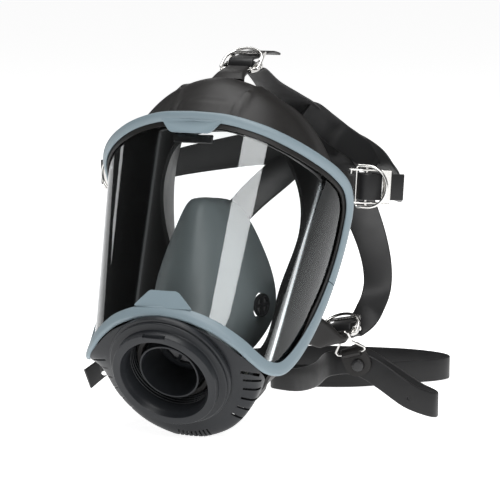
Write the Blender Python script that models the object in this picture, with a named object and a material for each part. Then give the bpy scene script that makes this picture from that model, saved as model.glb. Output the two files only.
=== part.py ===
"""Full face respirator: panoramic visor, rubber face seal, chin housing with a threaded
inlet, nose cup, valves, five roller buckles, a rubber head harness and a neck strap.

Lengths are in metres, +Z is up, the visor faces -Y and +X is the wearer's left side.
The mask stands on its chin housing with its neck strap laid out behind it.
Shapes are drawn around a datum inside the visor, in millimetres times MM, and the
whole mask hangs on one empty that puts the datum above the floor.
"""

import math

import bmesh
import bpy
from mathutils import Matrix, Vector

MM = 0.001

# Where the mask's datum stands over the floor point under the middle of the object.
DATUM = Vector((-9.18, -92.3, 124.0)) * MM
FLOOR = -124.0

# Visor: a leaning cone around an upright axis.
VISOR_RADIUS = 81.6
VISOR_FLARE = 0.146
VISOR_LEAN = 0.549
VISOR_AXIS_Y = 45.0
VISOR_SQUASH = 0.96
VISOR_THICKNESS = 2.4
VISOR_UNDER_RIM = 1.4

# Inlet: centre of the lip and the angle its axis points down.
INLET_CENTRE = Vector((0, -52, -79))
INLET_PITCH = math.radians(27)
LIP_RADIUS = 36.4
COLLAR_RADIUS = 41.0
BORE_RADIUS = 28.5
SLEEVE_RADIUS = 19.5

STRAP_WIDTH = 18.0
STRAP_THICKNESS = 1.8
ROLLER_RADIUS = 3.6
WIRE_RADIUS = 1.0

X, Y, Z = Vector((1, 0, 0)), Vector((0, 1, 0)), Vector((0, 0, 1))


def clear_scene():
    for obj in list(bpy.data.objects):
        bpy.data.objects.remove(obj, do_unlink=True)


def material(name, colour, roughness, metallic=0.0, alpha=1.0):
    mat = bpy.data.materials.new(name)
    mat.use_nodes = True
    shader = mat.node_tree.nodes["Principled BSDF"]
    shader.inputs["Base Color"].default_value = (*colour, 1.0)
    shader.inputs["Roughness"].default_value = roughness
    shader.inputs["Metallic"].default_value = metallic
    shader.inputs["Alpha"].default_value = alpha
    return mat


# ---------------------------------------------------------------- curves and frames

def spline(points, samples, closed=False):
    """Catmull-Rom curve through the points, with so many samples between neighbours."""
    count = len(points)
    spans = count if closed else count - 1
    curve = []
    for i in range(spans):
        if closed:
            a, b, c, d = (points[(i + k - 1) % count] for k in range(4))
        else:
            a, b, c, d = (points[min(max(i + k - 1, 0), count - 1)] for k in range(4))
        for j in range(samples):
            t = j / samples
            curve.append(0.5 * ((2 * b) + (c - a) * t + (2 * a - 5 * b + 4 * c - d) * t * t
                                + (3 * b - a - 3 * c + d) * t ** 3))
    if not closed:
        curve.append(points[-1].copy())
    return curve


def evenly(curve, count):
    """The open curve's points at even steps of its length, both ends included."""
    reach = [0.0]
    for a, b in zip(curve, curve[1:]):
        reach.append(reach[-1] + (b - a).length)
    points = []
    k = 0
    for i in range(count):
        want = reach[-1] * i / (count - 1)
        while k < len(curve) - 2 and reach[k + 1] < want:
            k += 1
        share = (want - reach[k]) / (reach[k + 1] - reach[k])
        points.append(curve[k].lerp(curve[k + 1], min(share, 1.0)))
    return points


def mirrored(point):
    return Vector((-point.x, point.y, point.z))


def both_sides(half):
    """A closed loop from its +X half, which starts and ends on the middle plane."""
    return half + [mirrored(p) for p in reversed(half[1:-1])]


def frame(origin, along, outward):
    """Placement whose +Y runs along a strap and whose +Z points out of its face."""
    y = along.normalized()
    x = y.cross(outward).normalized()
    z = x.cross(y)
    rows = Matrix((x, y, z)).transposed().to_4x4()
    rows.translation = origin
    return rows


def mirrored_frame(placement):
    """The same placement on the other side of the mask, still right-handed."""
    along = mirrored(placement.to_3x3() @ Y)
    outward = mirrored(placement.to_3x3() @ Z)
    return frame(mirrored(placement.translation), along, outward)


def inlet_frame():
    outward = Vector((0, -math.cos(INLET_PITCH), -math.sin(INLET_PITCH)))
    upward = Vector((0, -math.sin(INLET_PITCH), math.cos(INLET_PITCH)))
    return frame(INLET_CENTRE, upward, outward)


# ---------------------------------------------------------------- mesh helpers

def scaled(placement):
    """A placement in millimetres turned into one that takes and gives metres."""
    result = placement.copy()
    result.translation = placement.translation * MM
    return result


def new_object(name, bm, mat, placement=None, parent=None):
    bmesh.ops.remove_doubles(bm, verts=bm.verts, dist=1e-6)
    bmesh.ops.recalc_face_normals(bm, faces=bm.faces)
    mesh = bpy.data.meshes.new(name)
    bm.to_mesh(mesh)
    bm.free()
    mesh.materials.append(mat)
    mesh.shade_smooth()
    mesh.set_sharp_from_angle(angle=math.radians(35))
    return place_mesh(name, mesh, placement, parent)


def place_mesh(name, mesh, placement=None, parent=None):
    obj = bpy.data.objects.new(name, mesh)
    bpy.context.collection.objects.link(obj)
    obj.parent = parent or datum
    if placement is not None:
        obj.matrix_local = scaled(placement)
    return obj


def lofted(rows, closed_around=True, closed_along=False, capped=False):
    """Quads between neighbouring rows of points (in millimetres)."""
    bm = bmesh.new()
    rings = [[bm.verts.new(p * MM) for p in row] for row in rows]
    pairs = list(zip(rings, rings[1:]))
    if closed_along:
        pairs.append((rings[-1], rings[0]))
    for a, b in pairs:
        count = len(a)
        for i in range(count if closed_around else count - 1):
            j = (i + 1) % count
            bm.faces.new((a[i], a[j], b[j], b[i]))
    if capped:
        bm.faces.new(rings[0])
        bm.faces.new(rings[-1])
    return bm


def revolved(profile, segments):
    """A closed (radius, height) outline in millimetres turned once around +Z."""
    rows = []
    for i in range(segments):
        angle = 2 * math.pi * i / segments
        rows.append([Vector((r * math.cos(angle), r * math.sin(angle), h)) for r, h in profile])
    return lofted(rows, closed_around=True, closed_along=True)


def extruded(outline, depth, axis=Z):
    """A flat outline given thickness to both sides, along the axis."""
    half = axis * (depth / 2)
    return lofted([[p - half for p in outline], [p + half for p in outline]], capped=True)


def box(low, high):
    outline = [Vector((x, y, (low[2] + high[2]) / 2)) for x, y in
               ((low[0], low[1]), (high[0], low[1]), (high[0], high[1]), (low[0], high[1]))]
    return extruded(outline, high[2] - low[2])


def round_bar(start, end, radius, sides=12):
    """A straight bar between two points, capped at both ends."""
    along = (end - start).normalized()
    side = along.orthogonal().normalized()
    other = along.cross(side)
    ring = [side * (radius * math.cos(2 * math.pi * i / sides))
            + other * (radius * math.sin(2 * math.pi * i / sides)) for i in range(sides)]
    return lofted([[start + p for p in ring], [end + p for p in ring]], capped=True)


def wire(path, radius, up, sides=6, closed=True):
    """A round wire along a flat path; up is square to the path's plane."""
    rows = []
    count = len(path)
    for i, p in enumerate(path):
        before = path[(i - 1) % count] if closed or i else p
        after = path[(i + 1) % count] if closed or i < count - 1 else p
        side = (after - before).normalized().cross(up).normalized()
        rows.append([p + side * (radius * math.cos(2 * math.pi * k / sides))
                     + up * (radius * math.sin(2 * math.pi * k / sides)) for k in range(sides)])
    return lofted(rows, closed_along=closed, capped=not closed)


def ribbon(stations, thickness, samples, spacing):
    """A flat strap through (centre, across, width) stations, with rows where it bends."""
    centres = spline([s[0] for s in stations], samples)
    acrosses = spline([s[1].normalized() for s in stations], samples)
    widths = spline([Vector((s[2], 0, 0)) for s in stations], samples)
    last = len(centres) - 1
    ways = [(centres[min(i + 1, last)] - centres[max(i - 1, 0)]).normalized()
            for i in range(last + 1)]
    keep = [0]
    for i in range(1, last + 1):
        step = (centres[i] - centres[keep[-1]]).length
        turned = ways[i].angle(ways[keep[-1]]) > math.radians(24)
        if step > spacing or (turned and step > 1.0) or i == last:
            keep.append(i)
    rows = []
    for i in keep:
        ahead = ways[i]
        across = (acrosses[i] - ahead * acrosses[i].dot(ahead)).normalized()
        lift = ahead.cross(across) * (thickness / 2)
        half = across * (widths[i].x / 2)
        rows.append([centres[i] + half + lift, centres[i] - half + lift,
                     centres[i] - half - lift, centres[i] + half - lift])
    return lofted(rows, capped=True)


def combined(name, bodies, mat, operation="UNION"):
    """One mesh from several bodies: the first, joined with or cut by the others."""
    parts = [new_object(name + "_piece", bm, mat) for bm in bodies]
    for other in parts[1:]:
        joint = parts[0].modifiers.new("join", "BOOLEAN")
        joint.operation = operation
        joint.object = other
    return baked(name, parts)


def baked(name, parts):
    """The first object's evaluated mesh; the working objects are removed."""
    bpy.context.view_layer.update()
    graph = bpy.context.evaluated_depsgraph_get()
    mesh = bpy.data.meshes.new_from_object(parts[0].evaluated_get(graph))
    mesh.name = name
    for obj in parts:
        bpy.data.objects.remove(obj, do_unlink=True)
    mesh.shade_smooth()
    mesh.set_sharp_from_angle(angle=math.radians(35))
    return mesh


def cut(mesh, name, cutters, mat):
    """The mesh less the cutters."""
    base = place_mesh(name + "_piece", mesh)
    tools = [new_object(name + "_cutter", bm, mat) for bm in cutters]
    for tool in tools:
        step = base.modifiers.new("cut", "BOOLEAN")
        step.operation = "DIFFERENCE"
        step.object = tool
    return baked(name, [base] + tools)


def moved(bm, placement):
    """The same bmesh, put at a placement given in millimetres."""
    bmesh.ops.transform(bm, matrix=scaled(placement), verts=bm.verts)
    return bm


def pivot(name, placement, point, parent=None):
    """An empty on a joint's axis, at a point given inside the placement."""
    empty = bpy.data.objects.new(name, None)
    bpy.context.collection.objects.link(empty)
    empty.parent = parent or datum
    spot = placement.copy()
    spot.translation = placement @ point
    empty.matrix_local = scaled(spot)
    return empty


# ---------------------------------------------------------------- visor surface

def visor_point(azimuth, height, offset=0.0):
    """A point on the visor's outer face; azimuth is in degrees from the front."""
    radius = VISOR_RADIUS + VISOR_FLARE * height + offset
    angle = math.radians(azimuth)
    back = VISOR_AXIS_Y + VISOR_LEAN * height
    return Vector((radius * math.sin(angle), back - radius * math.cos(angle) / VISOR_SQUASH, height))


def visor_normal(azimuth, height):
    around = visor_point(azimuth + 1, height) - visor_point(azimuth - 1, height)
    up = visor_point(azimuth, height + 1) - visor_point(azimuth, height - 1)
    return around.cross(up).normalized()


# Half of the visor opening's outline as (azimuth, height), from the top middle round
# the side and the lower corner to the top of the chin arch.
OPENING_TOP = [(0, 86), (14, 84.5), (28, 78.5), (42, 69), (56, 58), (68, 48), (78, 38)]
OPENING_SIDE = [(85, 26), (89, 12), (92, -4), (92.5, -19), (90, -33), (86, -44), (80, -55)]
OPENING_CORNER = [(74, -63), (68, -67), (60, -65)]
OPENING_ARCH = [(52, -59), (44, -51.5), (35, -44), (26, -37.5), (13, -31.5), (0, -29.5)]

# The chin side of the rubber's front edge, from below the lower corner to the middle.
CHIN_EDGE = [Vector(p) for p in ((54, -8, -77), (43, 0, -90), (25, 8, -102), (0, 12, -107))]


def surface_points(pairs):
    """(azimuth, height) pairs smoothed with a curve, as fine steps."""
    return [(p.x, p.y) for p in spline([Vector((a, h, 0)) for a, h in pairs], 8)]


def opening_half():
    return surface_points(OPENING_TOP + OPENING_SIDE + OPENING_CORNER + OPENING_ARCH)


def spread(pairs, count):
    """So many (azimuth, height) pairs, evenly spaced along the visor."""
    flat = [Vector((a * 1.45, h, 0)) for a, h in pairs]
    return [(p.x / 1.45, p.y) for p in evenly(flat, count)]


def rim_frames(pairs):
    """Point, outward-in-surface and normal direction at each outline pair."""
    points = [visor_point(a, h) for a, h in pairs]
    frames = []
    for i, (a, h) in enumerate(pairs):
        ahead = points[min(i + 1, len(points) - 1)] - points[max(i - 1, 0)]
        if i in (0, len(pairs) - 1) and abs(a) < 1e-6:
            ahead = Vector((ahead.x, 0, 0))
        normal = visor_normal(a, h)
        outward = ahead.normalized().cross(normal).normalized()
        frames.append((points[i], -outward, normal))
    return frames


def at(rim, outward, lift):
    point, b, n = rim
    return point + b * outward + n * lift


# ---------------------------------------------------------------- lens and bezel

def make_lens(mat):
    half = spread(opening_half(), 37)
    edge = [at(rim, VISOR_UNDER_RIM, 0) for rim in rim_frames(half)]
    inner_edge = [at(rim, VISOR_UNDER_RIM, -VISOR_THICKNESS) for rim in rim_frames(half)]
    bm = bmesh.new()
    skins = []
    for row in (edge, inner_edge):
        loop = both_sides(row)
        skins.append([bm.verts.new(p * MM) for p in loop])
    count = len(skins[0])
    for i in range(count):
        j = (i + 1) % count
        bm.faces.new((skins[0][i], skins[0][j], skins[1][j], skins[1][i]))
    ribs = pair_top_and_bottom(half)
    for skin in skins:
        left = right = None
        for top, bottom in ribs:
            if left is not None:
                for a, b, c, d in ((skin[left], skin[top], skin[bottom], skin[right]),
                                   (skin[-left], skin[-top], skin[-bottom], skin[-right])):
                    corners = list(dict.fromkeys((a, b, c, d)))
                    if len(corners) > 2:
                        bm.faces.new(corners)
            left, right = top, bottom
    return new_object("lens", bm, mat)


def pair_top_and_bottom(half):
    """Indices of top and bottom outline points that share a straight rib of the cone."""
    last = len(half) - 1
    top = 0
    bottom = last
    pairs = [(top, bottom)]
    while bottom - top > 1:
        if half[top + 1][0] <= half[bottom - 1][0] and top + 1 < bottom:
            top += 1
        else:
            bottom -= 1
        pairs.append((top, bottom))
    return pairs


def bezel_width(height):
    """The bezel's face grows from the brow to the chin."""
    share = min(max((80 - height) / 140, 0.0), 1.0)
    return 6.8 + 1.9 * share


def bezel_section(rim, height, skirt):
    width = bezel_width(height)
    return [at(rim, b, n) for b, n in (
        (0, 1.8), (0, 2.8), (1.4, 4.0), (width - 1.6, 4.8), (width, 3.4),
        (width, -skirt), (width - 2.2, -skirt), (width - 2.2, 1.8))]


def skirt_depth(azimuth, height):
    """How far the rim reaches back: round the brow and sides, and not on the chin arch."""
    if height > -20:
        return 5.4
    if height > -34 and abs(azimuth) > 75:
        return 5.4 - 7.0 * (-20 - height) / 14
    return -1.6


def bezel_rows(pairs):
    return [bezel_section(rim, h, skirt_depth(a, h))
            for rim, (a, h) in zip(rim_frames(pairs), pairs)]


def make_bezels(mat):
    half = opening_half()
    seam = max(i for i, (a, h) in enumerate(half) if h > -21 and a > 60)
    upper_half = bezel_rows(spread(half[:seam], 17))
    upper = [[mirrored(p) for p in row] for row in reversed(upper_half[1:])] + upper_half
    tab = extruded_on_visor([(13, 87), (8, 78.5), (-8, 78.5), (-13, 87)], 2.9, 4.7)
    new_mesh = combined("bezel_upper", [lofted(upper, capped=True), tab], mat)
    place_mesh("bezel_upper", new_mesh)
    lower_half = bezel_rows(spread(half[seam + 1:], 17))
    lower = lower_half + [[mirrored(p) for p in row] for row in reversed(lower_half[:-1])]
    nub = extruded_on_visor([(14, -31.5), (6.5, -21), (-6.5, -21), (-14, -31.5)], 2.0, 5.4)
    new_mesh = combined("bezel_lower", [lofted(lower, capped=True), nub], mat)
    place_mesh("bezel_lower", new_mesh)


def extruded_on_visor(pairs, low, high):
    """A small raised plate that follows the visor's face."""
    outline = []
    for (a0, h0), (a1, h1) in zip(pairs, pairs[1:] + pairs[:1]):
        for k in range(4):
            outline.append((a0 + (a1 - a0) * k / 4, h0 + (h1 - h0) * k / 4))
    rows = []
    for lift in (low, high):
        rows.append([visor_point(a, h) + visor_normal(a, h) * lift for a, h in outline])
    return lofted(rows, capped=True)


# ---------------------------------------------------------------- face seal

SEAL_HALF = 22
# Control points of the rubber's loops at the same shares of the way round.
SEAL_SHARES = (0.0, 0.068, 0.136, 0.216, 0.34, 0.42, 0.50)
SEAL_BULGE = ((0, 36, 112), (40, 40, 98), (66, 54, 64), (79, 70, 6), (62, 50, -58),
              (40, 34, -92), (0, 34, -109))
SEAL_REAR = ((0, 74, 102), (38, 82, 88), (60, 94, 50), (66, 100, 4), (51, 84, -52),
             (34, 64, -84), (0, 58, -102))
SEAL_LIP = ((0, 46, 75), (34, 52, 66), (49, 57, 40), (50, 60, 8), (37, 57, -32),
            (27, 52, -71), (0, 48, -91))
SKIN = 3.8


def seal_loop(controls):
    """A loop's points at the stations, from its controls on the +X half."""
    points = [Vector(p) for p in controls]
    around = both_sides(points)
    fine = spline(around, 24, closed=True)[:24 * (len(points) - 1) + 1]
    result = []
    for i in range(SEAL_HALF + 1):
        share = 0.5 * i / SEAL_HALF
        k = max(j for j in range(len(SEAL_SHARES) - 1) if SEAL_SHARES[j] <= share)
        step = (share - SEAL_SHARES[k]) / (SEAL_SHARES[k + 1] - SEAL_SHARES[k])
        result.append(fine[min(round((k + min(step, 1.0)) * 24), len(fine) - 1)])
    return result


def seal_edge_frames():
    """Frames along the rubber's front edge: round the visor, then round the chin."""
    on_visor = surface_points(OPENING_TOP + OPENING_SIDE + [OPENING_CORNER[0]])
    frames = rim_frames(on_visor)
    last = frames[-1]
    curve = spline([last[0]] + CHIN_EDGE, 10)[2:]
    for i, point in enumerate(curve):
        ahead = curve[min(i + 1, len(curve) - 1)] - curve[max(i - 1, 0)]
        if i == len(curve) - 1:
            ahead = Vector((-1, 0, 0))
        share = min((i + 1) / 26, 1.0)
        normal = last[2].lerp(Vector((0, -0.93, 0.36)), share)
        normal = (normal - ahead * (normal.dot(ahead) / ahead.length_squared)).normalized()
        frames.append((point, normal.cross(ahead).normalized(), normal))
    points = [f[0] for f in frames]
    reach = [0.0]
    for a, b in zip(points, points[1:]):
        reach.append(reach[-1] + (b - a).length)
    chosen = []
    for i in range(SEAL_HALF + 1):
        want = reach[-1] * i / SEAL_HALF
        k = min(range(len(reach)), key=lambda j: abs(reach[j] - want))
        chosen.append(frames[k])
    return chosen


def inward(point, distance):
    centre = Vector((0, point.y, -5))
    return point + (centre - point).normalized() * distance


def seal_rows():
    edges = seal_edge_frames()
    bulge, rear, lip = (seal_loop(c) for c in (SEAL_BULGE, SEAL_REAR, SEAL_LIP))
    rows = []
    for edge, b, c, d in zip(edges, bulge, rear, lip):
        # The lips that hold the visor fade out above its lower corners.
        flap = -3.0 + 5.0 * min(max((-42 - edge[0].z) / 12, 0.0), 1.0)
        section = [at(edge, *p) for p in ((3.0, 0.6), (flap, 0.6), (flap, 1.4), (4.3, 1.4),
                                          (4.3, -7.0))]
        section += [b, c, inward(c, 3) + Y * 2.5, d, inward(d, -2.8) - Y * 0.5,
                    inward(c, 1.5) - Y * 8, inward(b, SKIN)]
        section += [at(edge, *p) for p in ((-1.2, -10.8), (flap, -5.2), (flap, -3.0),
                                           (3.0, -3.0))]
        rows.append(section)
    return rows + [[mirrored(p) for p in row] for row in reversed(rows[1:-1])]


def tab_body(name, placement):
    """A moulded rubber tab from the seal to a buckle's front bar, with a thick end."""
    side = -1 if name.endswith("right") else 1
    root, straight = TAB_ROOTS[name.split("_")[0]]
    root = side_of(root, side)
    across = placement.to_3x3() @ X
    edge = across
    if name.startswith("cheek"):
        edge = side_of(CHEEK_TAB_EDGE, side) * side
    tip = placement @ Vector((0, TAB_END, 0))
    near = placement @ Vector((0, TAB_END - straight, -0.6))
    middle = root.lerp(near, 0.5) + (placement.to_3x3() @ Z) * 1.0
    return ribbon([(root, edge, 25), (middle, across.lerp(edge, 0.5), 21),
                   (near, across, 19), (tip, across, 18.4)], 5.2, 3, 4)


def make_seal(mat, cutter_mat):
    bodies = [lofted(seal_rows(), closed_along=True)]
    for name, placement in BUCKLES:
        tab = baked("tab", [new_object("tab_piece", tab_body(name, placement), mat)])
        cutters = [round_bar(placement @ Vector((-14, BAR_Y, 0)),
                             placement @ Vector((14, BAR_Y, 0)), 1.5, 8)]
        if name.startswith("cheek"):
            leg = 2.7 if name.endswith("left") else -2.7
            cutters.append(moved(box((leg - 1.8, -23.4, -9), (leg + 1.8, -15.2, 9)), placement))
        bored = bmesh.new()
        bored.from_mesh(cut(tab, "tab", cutters, cutter_mat))
        bodies.append(bored)
    place_mesh("face_seal", combined("face_seal", bodies, mat))


# ---------------------------------------------------------------- chin housing

HOUSING_HALF = 15
HOUSING_SKIN = 2.4


def housing_rear_half():
    """Rear edge of the housing: under the bezel's arch, then round inside the chin."""
    arch = [(0, -29.5), (13, -31.5), (26, -37.5), (35, -44), (44, -51.5), (52, -59), (59, -64)]
    frames = rim_frames(surface_points(list(reversed(arch))))
    top = [at(f, 9.8, 2.0) for f in reversed(frames)]
    chin = [Vector(p) for p in ((57, -19, -82), (47, -12, -97), (28, -4, -112), (0, 1, -119))]
    return evenly(spline(evenly(top, 5) + chin, 8), HOUSING_HALF + 1)


def housing_circle(radius, depth):
    """Half a circle round the inlet axis, from its top round the +X side to its bottom."""
    placement = inlet_frame()
    points = []
    for i in range(HOUSING_HALF + 1):
        angle = math.pi * i / HOUSING_HALF
        points.append(placement @ Vector((radius * math.sin(angle), radius * math.cos(angle),
                                          -depth)))
    return points


def housing_walls():
    """Rear, middle and front point of the wall at each step of the +X half."""
    walls = []
    for i, (a, b) in enumerate(zip(housing_rear_half(), housing_circle(42.3, 13.5))):
        bulge = 11.5 * max((i - 3) / (HOUSING_HALF - 3), 0.0)
        point = a.lerp(b, 0.5)
        outward = Vector((point.x, 0, point.z + 72)).normalized()
        walls.append((a, point + outward * bulge, b))
    return walls


def on_wall(walls, place, along, side):
    """A point on the wall: place steps round the half, along from 0 (rear) to 2 (front)."""
    i = min(int(place), HOUSING_HALF - 1)
    k = min(int(along), 1)
    rows = [w[k].lerp(w[k + 1], along - k) for w in (walls[i], walls[i + 1])]
    return side_of(rows[0].lerp(rows[1], place - i), side)


def housing_mesh(mat):
    rear, middle, front = (list(points) for points in zip(*housing_walls()))
    outer = [rear, middle, front, housing_circle(42.6, 10.5), housing_circle(41.6, 9.2)]
    inner = [housing_circle(38.2, 9.2), housing_circle(38.2, 13.5)]
    inner += [[housing_inward(p) for p in row] for row in (middle, rear)]
    rows = [both_sides(row) for row in outer + inner]
    body = new_object("housing_piece", lofted(rows, closed_along=True), mat)
    return baked("component_housing", [body])


def housing_inward(point):
    return point + (Vector((0, 0, -70)) - point).normalized() * HOUSING_SKIN


# Slots: side, places round the wall in steps, start and end along it, half width.
CHIN_SLOTS = ((1, (13.65, 13.92, 14.19, 14.46, 14.73, 15.0)), (-1, (14.46, 14.73)))
CHEEK_SLOTS = (7.2, 8.0, 8.8, 9.6, 10.4, 11.2)


def housing_cutters():
    """Breathing slots under the chin and at both sides, and the flat it stands on."""
    cutters = [box((-60, -80, -140), (60, 60, FLOOR))]
    walls = housing_walls()
    for side, places in CHIN_SLOTS:
        cutters += [wall_slot(walls, place, side, 0.75, 1.5, 0.65) for place in places]
    for side in (1, -1):
        cutters += [wall_slot(walls, place, side, 0.75, 1.6, 0.9) for place in CHEEK_SLOTS]
    return cutters


def wall_slot(walls, place, side, start, end, wide):
    first = on_wall(walls, place, start, side)
    last = on_wall(walls, place, end, side)
    centre = first.lerp(last, 0.5)
    half = (last - first).length / 2
    slot = frame(centre, last - first, Vector((centre.x, 0, centre.z + 72)))
    return moved(box((-wide, -half, -6), (wide, half, 8)), slot)


def make_housing(mat, cutter_mat):
    mesh = cut(housing_mesh(mat), "component_housing", housing_cutters(), cutter_mat)
    place_mesh("component_housing", mesh)


# ---------------------------------------------------------------- inlet and valves

def make_inlet(grey, rubber, cutter_mat):
    placement = inlet_frame()
    ring = [(31.0, 0), (LIP_RADIUS, 0), (LIP_RADIUS, -6.5), (COLLAR_RADIUS, -7.2),
            (COLLAR_RADIUS, -8.8), (37.6, -8.8), (37.6, -11.5), (35.0, -14.5), (35.0, -19), (BORE_RADIUS, -19),
            (BORE_RADIUS, -3.4)]
    mesh = baked("inlet_ring", [new_object("ring_piece", revolved(ring, 32), grey)])
    notch = box((-8, LIP_RADIUS - 2.4, -2.2), (8, LIP_RADIUS + 3, 2))
    mesh = cut(mesh, "inlet_ring", [notch], cutter_mat)
    place_mesh("inlet_ring", mesh, placement)
    sleeve = [(SLEEVE_RADIUS, -9), (21.0, -9), (21.0, -21.4), (28.0, -21.4), (28.0, -19.4),
              (35.0, -19.4), (35.0, -23.0), (21.4, -23.0), (21.4, -44), (SLEEVE_RADIUS, -44)]
    new_object("inlet_sleeve", revolved(sleeve, 24), grey, placement)
    gasket = [(21.5, -21.1), (27.4, -21.1), (27.4, -19.8), (26, -17.4), (23, -17.4)]
    new_object("inlet_gasket", revolved(gasket, 24), rubber, placement)


def spoked_disc(outer, rim, hub, thick, spokes, segments, mat, name):
    """A ring and a hub joined by spokes, flat on z = 0 and thick upwards."""
    bodies = [revolved([(rim, 0), (outer, 0), (outer, thick), (rim, thick)], segments)]
    for i in range(spokes):
        angle = math.pi * i / spokes
        along = Vector((math.cos(angle), math.sin(angle), 0))
        side = Vector((-along.y, along.x, 0))
        reach = (rim + outer) / 2
        outline = [along * (sx * reach) + side * (sy * 1.1) + Z * (thick / 2)
                   for sx, sy in ((-1, -1), (1, -1), (1, 1), (-1, 1))]
        bodies.append(extruded(outline, thick * 0.8))
    bodies.append(round_bar(Vector((0, 0, 0.1)), Vector((0, 0, thick - 0.1)), hub, 8))
    return combined(name, bodies, mat)


def disc(radius, thick, segments, stud_radius=0.0, stud=0.0):
    """A thin round plate on z = 0, with a stud below when asked."""
    if stud:
        profile = [(0, -stud), (stud_radius, -stud), (stud_radius, 0), (radius, 0),
                   (radius, thick), (0, thick)]
    else:
        profile = [(0, 0), (radius, 0), (radius, thick), (0, thick)]
    bm = bmesh.new()
    rings = []
    for r, h in profile:
        if r == 0:
            rings.append([bm.verts.new((0, 0, h * MM))])
        else:
            rings.append([bm.verts.new((r * MM * math.cos(2 * math.pi * i / segments),
                                        r * MM * math.sin(2 * math.pi * i / segments), h * MM))
                          for i in range(segments)])
    for a, b in zip(rings, rings[1:]):
        for i in range(segments):
            j = (i + 1) % segments
            corners = [a[i % len(a)], a[j % len(a)], b[j % len(b)], b[i % len(b)]]
            bm.faces.new(list(dict.fromkeys(corners)))
    return bm


INHALE_DEPTH = -39.5
EXHALE_CENTRE = Vector((0, -3, -99.6))
SPRING_TOP = -2.4
SPRING_BOTTOM = -7.0


def make_inhalation_valve(grey, rubber):
    placement = inlet_frame()
    seat = spoked_disc(SLEEVE_RADIUS - 0.55, 15.0, 3.0, 2.2, 3, 16, grey,
                       "inhalation_valve_seat")
    seat_at = placement @ Matrix.Translation((0, 0, INHALE_DEPTH))
    place_mesh("inhalation_valve_seat", seat, seat_at)
    axis = pivot("inhalation_valve_axis", placement, Vector((0, 0, INHALE_DEPTH)))
    flap_at = Matrix.Translation((0, 0, -1.4))
    new_object("inhalation_valve_disc", disc(17.0, 1.0, 20), rubber, flap_at, axis)


def coil(radius_top, radius_bottom, top, bottom, turns, wire_radius):
    """A conical helical spring, open at both ends of its wire."""
    rows = []
    steps = turns * 10
    for i in range(steps + 1):
        share = i / steps
        angle = 2 * math.pi * turns * share
        radius = radius_top + (radius_bottom - radius_top) * share
        spoke = Vector((math.cos(angle), math.sin(angle), 0))
        centre = spoke * radius + Z * (top + (bottom - top) * share)
        rows.append([centre + spoke * (wire_radius * math.cos(math.pi * k / 2))
                     + Z * (wire_radius * math.sin(math.pi * k / 2)) for k in range(4)])
    return lofted(rows, capped=True)


def make_exhalation_valve(grey, rubber, steel):
    placement = Matrix.Translation(EXHALE_CENTRE)
    seat = spoked_disc(11.8, 9.2, 2.2, 2.0, 2, 16, grey, "exhalation_valve_seat")
    place_mesh("exhalation_valve_seat", seat, placement)
    axis = pivot("exhalation_valve_axis", placement, Vector((0, 0, -0.5)))
    valve_at = Matrix.Translation((0, 0, -1.0))
    new_object("exhalation_valve_disc", disc(10.6, 1.0, 20), rubber, valve_at, axis)
    spring = coil(4.2, 5.4, SPRING_TOP, SPRING_BOTTOM, 3, 0.45)
    new_object("exhalation_valve_spring", spring, steel, placement)
    keeper = spoked_disc(10.8, 8.8, 6.4, 1.8, 3, 16, grey, "exhalation_spring_keeper")
    keeper_at = placement @ Matrix.Translation((0, 0, SPRING_BOTTOM - 2.8))
    place_mesh("exhalation_spring_keeper", keeper, keeper_at)


def make_speech_diaphragm(grey, film):
    placement = frame(Vector((37, -1.5, -83.5)), Vector((-0.3, 0.75, 0.4)), Vector((0.82, -0.1, -0.5)))
    ring = [(8.8, -1.6), (11.5, -1.6), (11.5, 1.6), (8.8, 1.6), (8.8, 0.7), (9.9, 0.7),
            (9.9, -0.7), (8.8, -0.7)]
    new_object("speech_diaphragm_ring", revolved(ring, 16), grey, placement)
    sheet_at = placement @ Matrix.Translation((0, 0, -0.3))
    new_object("speech_diaphragm", disc(9.5, 0.6, 16), film, sheet_at)


# ---------------------------------------------------------------- nose cup

CUP_RIM = ((0, 42, 30), (17, 45, 20), (35, 49, -20), (36, 49, -50), (20, 42, -76), (0, 38, -82))
CUP_BODY = ((0, 14, 33), (14, 16, 26), (34, 16, -20), (34, 14, -50), (20, 6, -79), (0, 6, -87))
CUP_BROW = ((0, -4, 27), (11, -2, 17), (27, -3, -24), (30, -5, -50), (20, -9, -75), (0, -6, -84))
CUP_HALF = 10
CUP_SKIN = 2.0
SIDE_VALVE = Vector((37.5, 22, -38))
SIDE_OUT = Vector((0.97, -0.22, 0.02))


def cup_loop(controls):
    fine = spline(both_sides([Vector(p) for p in controls]), 12, closed=True)
    return evenly(fine[:12 * (len(controls) - 1) + 1], CUP_HALF + 1)


def cup_collar(radius, depth):
    placement = inlet_frame()
    return [placement @ Vector((radius * math.sin(math.pi * i / CUP_HALF),
                                radius * math.cos(math.pi * i / CUP_HALF), -depth))
            for i in range(CUP_HALF + 1)]


def cup_inward(point):
    return point + (Vector((0, point.y, -30)) - point).normalized() * CUP_SKIN


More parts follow.
